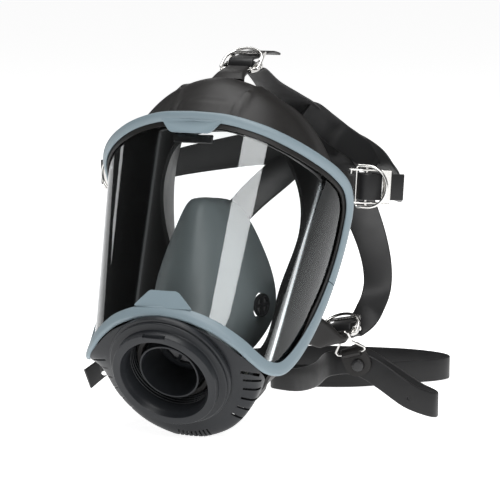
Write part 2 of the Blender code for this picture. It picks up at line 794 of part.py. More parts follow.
def make_nose_cup(mat, cutter_mat):
    rim, body, brow = (cup_loop(c) for c in (CUP_RIM, CUP_BODY, CUP_BROW))
    outer = [[p - Y * 0.1 for p in rim], body, brow, cup_collar(25.0, 40), cup_collar(24.6, 36)]
    inner = [cup_collar(22.0, 36), cup_collar(22.0, 40.6)]
    inner += [[cup_inward(p + Y * 2) for p in brow], [cup_inward(p) for p in body],
              [cup_inward(p) for p in rim]]
    rows = [both_sides(row) for row in outer + inner]
    shell = baked("nose_cup", [new_object("cup_piece", lofted(rows, closed_along=True), mat)])
    cutters = []
    for side in (1, -1):
        centre = Vector((SIDE_VALVE.x * side, SIDE_VALVE.y, SIDE_VALVE.z))
        out = Vector((SIDE_OUT.x * side, SIDE_OUT.y, SIDE_OUT.z)).normalized()
        cutters.append(round_bar(centre - out * 12, centre + out * 12, 8.3, 16))
    place_mesh("nose_cup", cut(shell, "nose_cup", cutters, cutter_mat))


def make_side_valves(grey, rubber):
    """Round check valves in both cheeks of the nose cup, with flaps hung at the top."""
    seat = spoked_disc(8.0, 6.4, 1.6, 2.0, 2, 14, grey, "nose_cup_valve_seat")
    for side, name in ((1, "left"), (-1, "right")):
        centre = Vector((SIDE_VALVE.x * side, SIDE_VALVE.y, SIDE_VALVE.z))
        out = Vector((SIDE_OUT.x * side, SIDE_OUT.y, SIDE_OUT.z))
        placement = frame(centre, Z, out)
        place_mesh("nose_cup_valve_seat_" + name, seat, placement)
        axis = pivot("nose_cup_flap_axis_" + name, placement, Vector((0, 6.8, -0.9)))
        flap_at = Matrix.Translation((0, -6.8, -0.3))
        new_object("nose_cup_valve_flap_" + name, disc(7.2, 0.7, 14), rubber, flap_at, axis)


# ---------------------------------------------------------------- buckles

BAR_Y = -11.0
TAB_END = -8.9
EAR_X = 11.2
BAIL_Y = -7.1
BAIL_HALF = 14.0
BAIL_END = 12.0
BAIL_LIFT = math.atan2(9.2, BAIL_END - BAIL_Y)

TOP_BUCKLE = frame(Vector((0, 79, 118)), Vector((0, 0.978, 0.208)), Vector((0, -0.208, 0.978)))
TEMPLE_BUCKLE = frame(Vector((92, 76, 39)), Vector((0.80, 0.60, -0.05)), Vector((0.6, -0.8, 0.0)))
CHEEK_BUCKLE = frame(Vector((68, 95, -66)), Vector((-0.08, 0.97, 0.10)), Vector((-0.2, -0.14, 1)))
BUCKLES = (("top", TOP_BUCKLE),
           ("temple_left", TEMPLE_BUCKLE),
           ("temple_right", mirrored_frame(TEMPLE_BUCKLE)),
           ("cheek_left", CHEEK_BUCKLE),
           ("cheek_right", mirrored_frame(CHEEK_BUCKLE)))
# Where each tab leaves the rubber, and how far it runs straight before its buckle.
TAB_ROOTS = {"top": (Vector((0, 52, 109)), 6), "temple": (Vector((66, 55, 45)), 6),
             "cheek": (Vector((55.5, 57, -58)), 14)}
CHEEK_TAB_EDGE = Vector((0.12, 0.1, 1.0))


def frame_mesh(steel, cutter_mat):
    """Stamped buckle frame: two ears, a bridge over the strap tail and a front bar."""
    side = [(-13.0, -1.6), (-9.0, -2.4), (-3.0, -3.4), (3.0, -3.4), (9.0, 1.6), (16.0, 4.4),
            (16.0, 6.4), (8.6, 6.4), (4.0, 3.0), (-3.0, 3.0), (-9.0, 2.0), (-13.0, 1.2)]
    bodies = []
    for x in (EAR_X, -EAR_X):
        bodies.append(extruded([Vector((x, y, z)) for y, z in side], 1.1, X))
    bodies.insert(1, box((-11.3, 9.4, 5.2), (11.3, 15.8, 6.3)))
    bodies.append(round_bar(Vector((-11.4, BAR_Y, 0)), Vector((11.4, BAR_Y, 0)), 1.0, 8))
    mesh = combined("buckle_frame", bodies, steel)
    holes = [round_bar(Vector((-15, 0, 0)), Vector((15, 0, 0)), 1.5, 12),
             round_bar(Vector((-15, BAIL_Y, 0)), Vector((15, BAIL_Y, 0)), WIRE_RADIUS + 0.5, 8)]
    return cut(mesh, "buckle_frame", holes, cutter_mat)


def roller_mesh(mat):
    """Ribbed roller bored for its pin."""
    bodies = [revolved([(1.5, -9.2), (ROLLER_RADIUS, -9.2), (ROLLER_RADIUS, 9.2), (1.5, 9.2)], 12)]
    turn = Matrix.Rotation(math.pi / 2, 4, "Y")
    return baked("buckle_roller", [new_object("roller_piece", moved(bodies[0], turn), mat)])


def bail_mesh(steel):
    """D-shaped wire bail, hinged on its straight side, lifted over the frame's bridge."""
    radius = 1.9
    arc_start = 1.0
    path = []
    for side in (1, -1):
        corner = Vector((side * (BAIL_HALF - radius), radius, 0))
        turn = [corner + Vector((side * radius * math.sin(a), -radius * math.cos(a), 0))
                for a in (0, math.pi / 4, math.pi / 2)]
        path.append(turn if side == 1 else list(reversed(turn)))
    length = (BAIL_END - BAIL_Y) / math.cos(BAIL_LIFT)
    straight = arc_start - BAIL_Y
    arc = []
    for i in range(9):
        angle = math.pi * i / 8
        arc.append(Vector((BAIL_HALF * math.cos(angle),
                           straight + (length - straight) * math.sin(angle), 0)))
    loop = path[0] + arc + path[1]
    mesh = baked("buckle_bail", [new_object("bail_piece", wire(loop, WIRE_RADIUS, Z), steel)])
    mesh.transform(Matrix.Rotation(BAIL_LIFT, 4, "X"))
    return mesh


def pin_mesh(steel):
    bar = round_bar(Vector((-14.6, 0, 0)), Vector((14.6, 0, 0)), 1.1, 10)
    return baked("buckle_pin", [new_object("pin_piece", bar, steel)])


def make_buckles(steel, black, cutter_mat):
    plates = frame_mesh(steel, cutter_mat)
    rollers = roller_mesh(black)
    bails = bail_mesh(steel)
    pins = pin_mesh(steel)
    for name, placement in BUCKLES:
        place_mesh("buckle_frame_" + name, plates, placement)
        place_mesh("buckle_pin_" + name, pins, placement)
        spin = pivot("buckle_roller_axis_" + name, placement, Vector((0, 0, 0)))
        place_mesh("buckle_roller_" + name, rollers, Matrix.Identity(4), spin)
        hinge = pivot("buckle_bail_axis_" + name, placement, Vector((0, BAIL_Y, 0)))
        place_mesh("buckle_bail_" + name, bails, Matrix.Identity(4), hinge)


# ---------------------------------------------------------------- straps

STRAP_LOOP = ((26, 2.2), (12, 3.2), (5, 4.4), (0, 4.9), (-3.5, 3.4), (-4.9, 0), (-3.5, -3.6),
              (0, -5.1), (8, -6.0), (20, -8))


TOP_TAIL = ((48, -4.5), (38, -0.5))
# The crown plate's web between the brow arm and each temple arm.
CROWN_WEB = (((11, 172, 81), 14), ((13, 181, 77), 18), ((18, 192, 69), 19), ((23, 206, 60), 20),
             ((36, 209, 51), 20), ((54, 208, 39), 20))


def looped_end(placement, tail=()):
    """Stations of a strap's end: its tail, round the roller and away from the buckle."""
    across = placement.to_3x3() @ X
    return [(placement @ Vector((0, y, z)), across, STRAP_WIDTH)
            for y, z in (*tail, *STRAP_LOOP)]


def make_harness(mat):
    """One moulded rubber star: a crown plate and five arms that end in the buckles."""
    up = Vector((0, -0.3, 0.95))
    crown = Vector((0, 214, 52))
    top = [(Vector(p), X, w) for p, w in (((0, 124, 103.5), 21), ((0, 150, 93), 32),
                                          ((0, 178, 83), 36), ((0, 204, 66), 40),
                                          ((0, 214, 40), 40), ((0, 212, 22), 34))]
    temple_left = [((96, 125, 33), 19), ((86, 165, 28), 21), ((72, 194, 30), 24),
                   ((54, 210, 40), 27), ((28, 216, 49), 30)]
    temple_right = [((-92, 118, 37), 19), ((-74, 148, 42), 22), ((-46, 184, 47), 26),
                    ((-24, 206, 50), 30)]
    cheek_left = [((76, 128, -58), 19), ((80, 137, -38), 20), ((70, 155, -14), 22),
                  ((46, 184, 14), 26), ((20, 206, 34), 30)]
    cheek_right = [((-64, 122, -60), 19), ((-52, 134, -30), 22), ((-36, 162, 6), 26),
                   ((-18, 198, 32), 30)]
    bodies = [ribbon(looped_end(TOP_BUCKLE, TOP_TAIL) + top, STRAP_THICKNESS, 4, 7)]
    for side in (1, -1):
        web = [(side_of(Vector(p), side), Vector((0.5 * side, 0, 0.85)), w) for p, w in CROWN_WEB]
        bodies.append(ribbon(web, STRAP_THICKNESS, 4, 7))
    arms = (("temple_left", temple_left, up), ("temple_right", temple_right, up),
            ("cheek_left", cheek_left, Vector((0.75, 0.5, 0.45))),
            ("cheek_right", cheek_right, Vector((-0.75, 0.5, 0.45))))
    placements = dict(BUCKLES)
    for name, points, across in arms:
        end = looped_end(placements[name])
        side = across if end[0][1].dot(across) > 0 else -across
        stations = end + [(Vector(p), side, w) for p, w in points] + [(crown, side, 30)]
        bodies.append(ribbon(stations, STRAP_THICKNESS, 4, 7))
    place_mesh("head_harness", combined("head_harness", bodies, mat))


NECK_WIDTH = 17.0
BUTTON = Vector((84, 88.5, -87))
LINK_OUT = Vector((0.05, -0.99, 0.05))
LUG_RISE = 9.5
LUG_FRONT = 3.2


def side_of(point, side):
    return Vector((point.x * side, point.y, point.z))


def make_neck_strap(mat, cutter_mat):
    """The strap on its edge: a loop buttoned at the left cheek, a long loop behind the
    mask, and its free end past the right cheek."""
    tilt = Vector((-0.25, 0, 0.97))
    stations = [((70, 112, -84), tilt), ((88, 124, -97), Z), ((112, 126, -111), Z),
                ((131, 116, -115), Z), ((133, 104, -114.5), Z), ((119, 95, -108), Z),
                ((101, 92.0, -96), tilt), ((93, 90.9, -91), tilt), ((84, 90.1, -87.4), tilt),
                ((75, 89.8, -86.5), Z), ((65, 90.6, -88), Z), ((56, 97, -92), Z),
                ((40, 118, -104), Z), ((18, 138, -113), Z), ((-4, 149, -115), Z),
                ((-6, 158, -115), Z), ((12, 163, -115), Z), ((48, 178, -115), Z),
                ((76, 204, -115), Z), ((97, 224, -115), Z), ((101, 240, -115), Z),
                ((84, 250, -115), Z), ((50, 250, -115), Z), ((-10, 232, -115), Z),
                ((-50, 196, -115), Z), ((-62, 150, -113), Z), ((-60, 112, -102), Z),
                ((-65, 92, -90), Z), ((-74, 89.8, -86.5), Z), ((-84, 90.1, -87.4), side_of(tilt, -1)),
                ((-94, 91.0, -91), side_of(tilt, -1)), ((-104, 87, -98), side_of(tilt, -1)),
                ((-115, 66, -110), Vector((0.15, 0.1, 0.97)))]
    body = ribbon([(Vector(p), across, NECK_WIDTH) for p, across in stations], 1.8, 5, 9)
    mesh = baked("neck_strap", [new_object("strap_piece", body, mat)])
    cutters = []
    for side in (1, -1):
        out = side_of(LINK_OUT, side).normalized()
        centre = side_of(BUTTON, side)
        cutters.append(round_bar(centre - out * 9, centre + out * 9, 3.4, 10))
    cutters.append(round_bar(Vector((-100, 50, -108)), Vector((-112, 92, -108)), 2.0, 8))
    cutters.append(round_bar(Vector((119, 80, -109)), Vector((119, 106, -109)), 1.6, 8))
    place_mesh("neck_strap", cut(mesh, "neck_strap", cutters, cutter_mat))


def link_frame(side):
    along = side_of(Vector((-0.45, -0.1, 0.89)), side)
    return frame(side_of(BUTTON, side), along, side_of(LINK_OUT, side))


def ring_frame(side):
    """The ring's place: +Y up from its base in the link to its apex in the cheek tab."""
    buckle = dict(BUCKLES)["cheek_left" if side == 1 else "cheek_right"]
    apex = buckle @ Vector((6.9 * side, -20.5, 3.6))
    base = link_frame(side) @ Vector((0, LUG_RISE, LUG_FRONT))
    across = buckle.to_3x3() @ X
    return frame(apex, apex - base, across.cross(apex - base)), (apex - base).length


def make_neck_links(rubber, steel, black, cutter_mat):
    """Wire rings through the cheek tabs, the rubber links on them and the strap buttons."""
    for side, name in ((1, "left"), (-1, "right")):
        spot, length = ring_frame(side)
        half = [(3.0, 0), (4.2, -1.2), (4.2, -8.5), (10.6, -length + 3), (10.1, -length + 0.8),
                (8.4, -length)]
        loop = [Vector((x, y, 0)) for x, y in half]
        loop += [mirrored(p) for p in reversed(loop)]
        new_object("neck_ring_" + name, wire(loop, 0.9, Z), steel, spot)
        make_link(side, name, spot, length, rubber, cutter_mat)
        make_button(side, name, black)


def make_link(side, name, spot, length, rubber, cutter_mat):
    """A rubber tongue that wraps the ring's base and is held to the strap by a button."""
    placement = link_frame(side)
    outline = []
    for i in range(9):
        angle = math.pi + math.pi * i / 8
        outline.append(Vector((9.5 * math.cos(angle), 8.0 * math.sin(angle), 0)))
    outline += [Vector((9, 8, 0)), Vector((7.2, 14, 0)), Vector((-7.2, 14, 0)), Vector((-9, 8, 0))]
    plate = moved(extruded(outline, 2.2), placement @ Matrix.Translation((0, 0, 1.4)))
    lug = round_bar(spot @ Vector((-6.6, -length, 0)), spot @ Vector((6.6, -length, 0)), 2.9, 10)
    mesh = combined("neck_link", [plate, lug], rubber)
    hole = moved(round_bar(Vector((0, 0, -6)), Vector((0, 0, 9)), 3.2, 12), placement)
    bore = round_bar(spot @ Vector((-12, -length, 0)), spot @ Vector((12, -length, 0)), 1.4, 8)
    place_mesh("neck_link_" + name, cut(mesh, "neck_link_" + name, [hole, bore], cutter_mat))


def make_button(side, name, black):
    profile = [(0, -4.6), (5.0, -4.6), (5.0, -3.4), (2.8, -3.4), (2.8, 3.0), (4.6, 3.2),
               (4.2, 4.4), (2.6, 5.0), (0, 5.1)]
    bm = bmesh.new()
    rings = []
    for r, h in profile:
        sides = 1 if r == 0 else 12
        rings.append([bm.verts.new((r * MM * math.cos(2 * math.pi * i / sides),
                                    r * MM * math.sin(2 * math.pi * i / sides), h * MM))
                      for i in range(sides)])
    for a, b in zip(rings, rings[1:]):
        for i in range(12):
            j = (i + 1) % 12
            corners = [a[i % len(a)], a[j % len(a)], b[j % len(b)], b[i % len(b)]]
            bm.faces.new(list(dict.fromkeys(corners)))
    new_object("neck_button_" + name, bm, black, link_frame(side))


# ---------------------------------------------------------------- small parts

def make_bezel_screws(steel):
    """Screws that draw the two halves of the bezel together at the sides."""
    for side, name in ((1, "left"), (-1, "right")):
        rim = rim_frames([(91.6, -16), (92.4, -19), (92.0, -22)])[1]
        spot = side_of(at(rim, bezel_width(-19) + 0.7, 0.4), side)
        out = side_of(rim[1], side)
        head = round_bar(spot, spot + out * 1.6, 2.4, 12)
        new_object("bezel_screw_" + name, head, steel)


def make_top_clip(black):
    """Small clip behind the visor's upper edge that takes a spectacle frame."""
    inside = -VISOR_THICKNESS - 0.4
    body = extruded_on_visor([(9, 79), (9, 74), (-9, 74), (-9, 79)], inside - 2.5, inside)
    new_object("spectacle_clip", body, black)


clear_scene()
datum = bpy.data.objects.new("mask_datum", None)
bpy.context.collection.objects.link(datum)
datum.location = DATUM

grey = material("bezel_grey", (0.22, 0.28, 0.32), 0.5)
housing_grey = material("housing_dark", (0.035, 0.038, 0.042), 0.5)
seal_rubber = material("seal_rubber", (0.02, 0.02, 0.02), 0.6)
harness_rubber = material("harness_rubber", (0.018, 0.018, 0.018), 0.65)
cup_rubber = material("cup_rubber", (0.07, 0.08, 0.08), 0.5)
valve_rubber = material("valve_rubber", (0.3, 0.3, 0.3), 0.6)
steel = material("nickel_steel", (0.75, 0.74, 0.72), 0.2, 1.0)
black = material("black_plastic", (0.02, 0.02, 0.02), 0.4)
clear = material("clear_lens", (0.9, 0.92, 0.93), 0.05, 0.0, 0.3)
film = material("diaphragm_film", (0.6, 0.6, 0.55), 0.3)
cutting = material("cutter", (1, 0, 0), 0.5)

make_lens(clear)
make_bezels(grey)
make_seal(seal_rubber, cutting)
make_housing(housing_grey, cutting)
make_inlet(housing_grey, seal_rubber, cutting)
make_inhalation_valve(housing_grey, valve_rubber)
make_exhalation_valve(housing_grey, valve_rubber, steel)
make_speech_diaphragm(housing_grey, film)
make_nose_cup(cup_rubber, cutting)
make_side_valves(black, valve_rubber)
make_buckles(steel, black, cutting)
make_harness(harness_rubber)
make_neck_strap(harness_rubber, cutting)
make_neck_links(harness_rubber, steel, black, cutting)
make_bezel_screws(steel)
make_top_clip(black)
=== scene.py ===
"""Looks of the full face respirator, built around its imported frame.

Shapes repeat the part's own curves at a finer step, in millimetres around the mask's
datum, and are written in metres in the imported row's frame.
"""
import math

import bmesh
import bpy
from mathutils import Matrix, Vector


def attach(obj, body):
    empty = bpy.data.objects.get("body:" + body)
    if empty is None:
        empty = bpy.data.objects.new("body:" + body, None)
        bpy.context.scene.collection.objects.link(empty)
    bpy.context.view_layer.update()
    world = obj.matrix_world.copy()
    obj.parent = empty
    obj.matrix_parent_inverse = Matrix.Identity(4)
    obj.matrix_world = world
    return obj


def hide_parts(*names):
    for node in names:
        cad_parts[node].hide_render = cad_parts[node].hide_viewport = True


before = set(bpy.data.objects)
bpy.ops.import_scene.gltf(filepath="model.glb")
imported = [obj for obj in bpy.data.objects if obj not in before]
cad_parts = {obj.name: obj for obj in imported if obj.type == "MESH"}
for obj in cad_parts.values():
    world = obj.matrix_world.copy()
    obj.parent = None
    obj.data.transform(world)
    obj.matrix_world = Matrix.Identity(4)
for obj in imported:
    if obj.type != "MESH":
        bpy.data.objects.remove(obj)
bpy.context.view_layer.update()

MM = 0.001
DATUM = Vector((-9.18, -92.3, 124.0))
FLOOR = -124.0
X, Y, Z = Vector((1, 0, 0)), Vector((0, 1, 0)), Vector((0, 0, 1))

VISOR_RADIUS = 81.6
VISOR_FLARE = 0.146
VISOR_LEAN = 0.549
VISOR_AXIS_Y = 45.0
VISOR_SQUASH = 0.96
VISOR_THICKNESS = 2.4
VISOR_UNDER_RIM = 1.4

# Length of one degree round the visor, near the front of its outline.
ARC_PER_DEGREE = 1.45

INLET_CENTRE = Vector((0, -52, -79))
INLET_PITCH = math.radians(27)

STRAP_THICKNESS = 1.8
EDGE_STEPS = 6


# ---------------------------------------------------------------- curves and frames

def spline(points, samples, closed=False):
    """Catmull-Rom curve through the points, with so many samples between neighbours."""
    count = len(points)
    curve = []
    for i in range(count if closed else count - 1):
        if closed:
            a, b, c, d = (points[(i + k - 1) % count] for k in range(4))
        else:
            a, b, c, d = (points[min(max(i + k - 1, 0), count - 1)] for k in range(4))
        for j in range(samples):
            t = j / samples
            curve.append(0.5 * ((2 * b) + (c - a) * t + (2 * a - 5 * b + 4 * c - d) * t * t
                                + (3 * b - a - 3 * c + d) * t ** 3))
    if not closed:
        curve.append(points[-1].copy())
    return curve


def lengths(points):
    """Length along the points up to each of them."""
    reach = [0.0]
    for a, b in zip(points, points[1:]):
        reach.append(reach[-1] + (b - a).length)
    return reach


def evenly(curve, count):
    """The open curve's points at even steps of its length, both ends included."""
    reach = lengths(curve)
    points = []
    k = 0
    for i in range(count):
        want = reach[-1] * i / (count - 1)
        while k < len(curve) - 2 and reach[k + 1] < want:
            k += 1
        share = (want - reach[k]) / (reach[k + 1] - reach[k])
        points.append(curve[k].lerp(curve[k + 1], min(share, 1.0)))
    return points


def between(pairs, want):
    """The value at a place, from (place, value) pairs in rising order of place."""
    for (a, u), (b, v) in zip(pairs, pairs[1:]):
        if want <= b:
            return u + (v - u) * max(want - a, 0.0) / max(b - a, 1e-9)
    return pairs[-1][1]


def mirrored(point):
    return Vector((-point.x, point.y, point.z))


def side_of(point, side):
    return Vector((point[0] * side, point[1], point[2]))


def both_sides(half):
    """A closed loop from its +X half, which starts and ends on the middle plane."""
    return half + [mirrored(p) for p in reversed(half[1:-1])]


def placed(origin, along, outward):
    """Placement whose +Y runs along a strap and whose +Z points out of its face."""
    y = along.normalized()
    x = y.cross(outward).normalized()
    rows = Matrix((x, y, x.cross(y))).transposed().to_4x4()
    rows.translation = origin
    return rows


def mirrored_placement(placement):
    along = mirrored(placement.to_3x3() @ Y)
    outward = mirrored(placement.to_3x3() @ Z)
    return placed(mirrored(placement.translation), along, outward)


def inlet_frame():
    """Placement on the inlet's front, with +Z out of the bore."""
    outward = Vector((0, -math.cos(INLET_PITCH), -math.sin(INLET_PITCH)))
    upward = Vector((0, -math.sin(INLET_PITCH), math.cos(INLET_PITCH)))
    return placed(INLET_CENTRE, upward, outward)


def rounded(outline, radius, steps=4, closed=True):
    """A 2-D or 3-D outline with its corners turned into short curves."""
    points = [Vector(p) for p in outline]
    count = len(points)
    result = []
    for i, p in enumerate(points):
        if not closed and i in (0, count - 1):
            result.append(p)
            continue
        before, after = points[i - 1] - p, points[(i + 1) % count] - p
        reach = min(radius, before.length * 0.45, after.length * 0.45)
        start, end = p + before.normalized() * reach, p + after.normalized() * reach
        for k in range(steps + 1):
            t = k / steps
            result.append(start * (1 - t) ** 2 + p * 2 * t * (1 - t) + end * t * t)
    return result


# ---------------------------------------------------------------- meshes

def lofted(rows, closed_around=True, closed_along=False, capped=False):
    """Quads between neighbouring rows of points."""
    bm = bmesh.new()
    rings = [[bm.verts.new(p) for p in row] for row in rows]
    pairs = list(zip(rings, rings[1:]))
    if closed_along:
        pairs.append((rings[-1], rings[0]))
    for a, b in pairs:
        count = len(a)
        for i in range(count if closed_around else count - 1):
            j = (i + 1) % count
            bm.faces.new((a[i], a[j], b[j], b[i]))
    if capped:
        bm.faces.new(rings[0])
        bm.faces.new(rings[-1])
    return bm


def revolved(profile, segments=96):
    """A closed (radius, height) outline turned once around +Z."""
    rows = []
    for i in range(segments):
        angle = 2 * math.pi * i / segments
        c, s = math.cos(angle), math.sin(angle)
        rows.append([Vector((p[0] * c, p[0] * s, p[1])) for p in profile])
    return lofted(rows, closed_along=True)


def turned(profile, segments=32):
    """An open (radius, height) outline that starts and ends on the axis, turned solid."""
    bm = bmesh.new()
    rings = []
    for p in profile:
        sides = 1 if p[0] < 1e-6 else segments
        rings.append([bm.verts.new((p[0] * math.cos(2 * math.pi * i / sides),
                                    p[0] * math.sin(2 * math.pi * i / sides), p[1]))
                      for i in range(sides)])
    for a, b in zip(rings, rings[1:]):
        for i in range(segments):
            j = (i + 1) % segments
            corners = [a[i % len(a)], a[j % len(a)], b[j % len(b)], b[i % len(b)]]
            bm.faces.new(list(dict.fromkeys(corners)))
    return bm


def extruded(outline, depth, axis=Z):
    half = axis * (depth / 2)
    return lofted([[p - half for p in outline], [p + half for p in outline]], capped=True)


def box(low, high):
    middle = (low[2] + high[2]) / 2
    outline = [Vector((x, y, middle)) for x, y in
               ((low[0], low[1]), (high[0], low[1]), (high[0], high[1]), (low[0], high[1]))]
    return extruded(outline, high[2] - low[2])


def round_bar(start, end, radius, sides=24):
    along = (end - start).normalized()
    side = along.orthogonal().normalized()
    other = along.cross(side)
    ring = [side * (radius * math.cos(2 * math.pi * i / sides))
            + other * (radius * math.sin(2 * math.pi * i / sides)) for i in range(sides)]
    return lofted([[start + p for p in ring], [end + p for p in ring]], capped=True)


def wire(path, radius, up, sides=14, closed=True):
    """A round wire along a flat path; up is square to the path's plane."""
    rows = []
    count = len(path)
    for i, p in enumerate(path):
        before = path[(i - 1) % count] if closed or i else p
        after = path[(i + 1) % count] if closed or i < count - 1 else p
        side = (after - before).normalized().cross(up).normalized()
        rows.append([p + side * (radius * math.cos(2 * math.pi * k / sides))
                     + up * (radius * math.sin(2 * math.pi * k / sides)) for k in range(sides)])
    return lofted(rows, closed_along=closed, capped=not closed)


def strap_section(width, thickness):
    """Outline of a flat strap with round edges, across and lift of each point."""
    half, r = width / 2, thickness / 2
    section = []
    for side in (1, -1):
        for k in range(EDGE_STEPS + 1):
            angle = side * (math.pi / 2 - math.pi * k / EDGE_STEPS)
            section.append((side * (half - r + r * math.cos(angle)), r * math.sin(angle)))
    return section


def ribbon(stations, thickness, samples, end_round=0.0):
    """A strap with round edges through (centre, across, width) stations."""
    centres = spline([Vector(s[0]) for s in stations], samples)
    acrosses = spline([Vector(s[1]).normalized() for s in stations], samples)
    widths = spline([Vector((s[2], 0, 0)) for s in stations], samples)
    last = len(centres) - 1
    reach = lengths(centres)
    rows = []
    for i in range(last + 1):
        ahead = (centres[min(i + 1, last)] - centres[max(i - 1, 0)]).normalized()
        across = (acrosses[i] - ahead * acrosses[i].dot(ahead)).normalized()
        lift = ahead.cross(across)
        width = widths[i].x
        left = reach[-1] - reach[i]
        if end_round and left < end_round:
            width *= math.sqrt(max(1 - (1 - left / end_round) ** 2, 0.02)) * 0.7 + 0.3
        rows.append([centres[i] + across * a + lift * n
                     for a, n in strap_section(width, thickness)])
    return lofted(rows, capped=True)


def moved(bm, placement):
    bmesh.ops.transform(bm, matrix=placement, verts=bm.verts)
    return bm


def joined(parts):
    """One bmesh that holds several."""
    whole = bmesh.new()
    for bm in parts:
        mesh = bpy.data.meshes.new("part")
        bm.to_mesh(mesh)
        bm.free()
        whole.from_mesh(mesh)
        bpy.data.meshes.remove(mesh)
    return whole


def piece(name, bm, mat, body="mask", stands_for=(), placement=None, sharp=38, bevel=0.0):
    """A finished piece of the object: its mesh in the row's frame, riding on a body."""
    if placement is not None:
        moved(bm, placement)
    for v in bm.verts:
        v.co = (v.co + DATUM) * MM
    bmesh.ops.remove_doubles(bm, verts=bm.verts, dist=2e-6)
    bmesh.ops.dissolve_degenerate(bm, edges=bm.edges, dist=1e-6)
    bmesh.ops.recalc_face_normals(bm, faces=bm.faces)
    mesh = bpy.data.meshes.new(name)
    bm.to_mesh(mesh)
    bm.free()
    mesh.materials.append(mat)
    mesh.shade_smooth()
    mesh.set_sharp_from_angle(angle=math.radians(sharp))
    obj = bpy.data.objects.new(name, mesh)
    bpy.context.scene.collection.objects.link(obj)
    if bevel:
        edge = obj.modifiers.new("edge", "BEVEL")
        edge.width = bevel * MM
        edge.segments = 2
        edge.limit_method = "ANGLE"
        edge.angle_limit = math.radians(sharp)
        edge.harden_normals = True
    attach(obj, body)
    if stands_for:
        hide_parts(*stands_for)
    return obj


def carved(bm, cutters):
    """The bmesh less its cutters, as a new bmesh."""
    def working(source):
        mesh = bpy.data.meshes.new("working")
        bmesh.ops.remove_doubles(source, verts=source.verts, dist=1e-4)
        bmesh.ops.recalc_face_normals(source, faces=source.faces)
        source.to_mesh(mesh)
        source.free()
        obj = bpy.data.objects.new("working", mesh)
        bpy.context.scene.collection.objects.link(obj)
        return obj
    base = working(bm)
    tools = [working(c) for c in cutters]
    for tool in tools:
        step = base.modifiers.new("cut", "BOOLEAN")
        step.operation = "DIFFERENCE"
        step.solver = "EXACT"
        step.object = tool
    graph = bpy.context.evaluated_depsgraph_get()
    result = bmesh.new()
    result.from_mesh(base.evaluated_get(graph).to_mesh())
    for obj in [base] + tools:
        bpy.data.objects.remove(obj, do_unlink=True)
    return result


# ---------------------------------------------------------------- materials

def surface(name, colour, roughness, metallic=0.0, grain=(900, 0.1), mottle=(60, 0.12),
            blotch=0.08, specular=0.5, sheen=0.0, worn=0.0):
    """A procedural finish: tone that drifts, roughness that varies and a fine grain."""
    mat = bpy.data.materials.new(name)
    mat.use_nodes = True
    nodes, links = mat.node_tree.nodes, mat.node_tree.links
    shader = nodes["Principled BSDF"]
    shader.inputs["Metallic"].default_value = metallic
    shader.inputs["Specular IOR Level"].default_value = specular
    shader.inputs["Sheen Weight"].default_value = sheen
    where = nodes.new("ShaderNodeTexCoord")
    drift = nodes.new("ShaderNodeTexNoise")
    drift.inputs["Scale"].default_value = mottle[0]
    drift.inputs["Detail"].default_value = 6.0
    links.new(where.outputs["Object"], drift.inputs["Vector"])
    tone = nodes.new("ShaderNodeMix")
    tone.data_type = "RGBA"
    tone.inputs["A"].default_value = (*[c * (1 - mottle[1]) for c in colour], 1)
    tone.inputs["B"].default_value = (*[min(c * (1 + mottle[1]), 1) for c in colour], 1)
    links.new(drift.outputs["Fac"], tone.inputs["Factor"])
    result = tone.outputs["Result"]
    if worn:
        shape = nodes.new("ShaderNodeNewGeometry")
        edge = nodes.new("ShaderNodeMapRange")
        edge.inputs["From Min"].default_value = 0.52
        edge.inputs["From Max"].default_value = 0.62
        edge.inputs["To Max"].default_value = worn
        links.new(shape.outputs["Pointiness"], edge.inputs["Value"])
        rub = nodes.new("ShaderNodeMix")
        rub.data_type = "RGBA"
        rub.inputs["B"].default_value = (*[min(c * 1.7 + 0.03, 1) for c in colour], 1)
        links.new(edge.outputs["Result"], rub.inputs["Factor"])
        links.new(result, rub.inputs["A"])
        result = rub.outputs["Result"]
    links.new(result, shader.inputs["Base Color"])
    patch = nodes.new("ShaderNodeTexNoise")
    patch.inputs["Scale"].default_value = mottle[0] * 3.1
    patch.inputs["Detail"].default_value = 4.0
    links.new(where.outputs["Object"], patch.inputs["Vector"])
    gloss = nodes.new("ShaderNodeMapRange")
    gloss.inputs["To Min"].default_value = max(roughness - blotch, 0.02)
    gloss.inputs["To Max"].default_value = min(roughness + blotch, 1.0)
    links.new(patch.outputs["Fac"], gloss.inputs["Value"])
    links.new(gloss.outputs["Result"], shader.inputs["Roughness"])
    fine = nodes.new("ShaderNodeTexNoise")
    fine.inputs["Scale"].default_value = grain[0]
    fine.inputs["Detail"].default_value = 3.0
    links.new(where.outputs["Object"], fine.inputs["Vector"])
    bump = nodes.new("ShaderNodeBump")
    bump.inputs["Strength"].default_value = grain[1]
    bump.inputs["Distance"].default_value = 0.0002
    links.new(fine.outputs["Fac"], bump.inputs["Height"])
    links.new(bump.outputs["Normal"], shader.inputs["Normal"])
    return mat


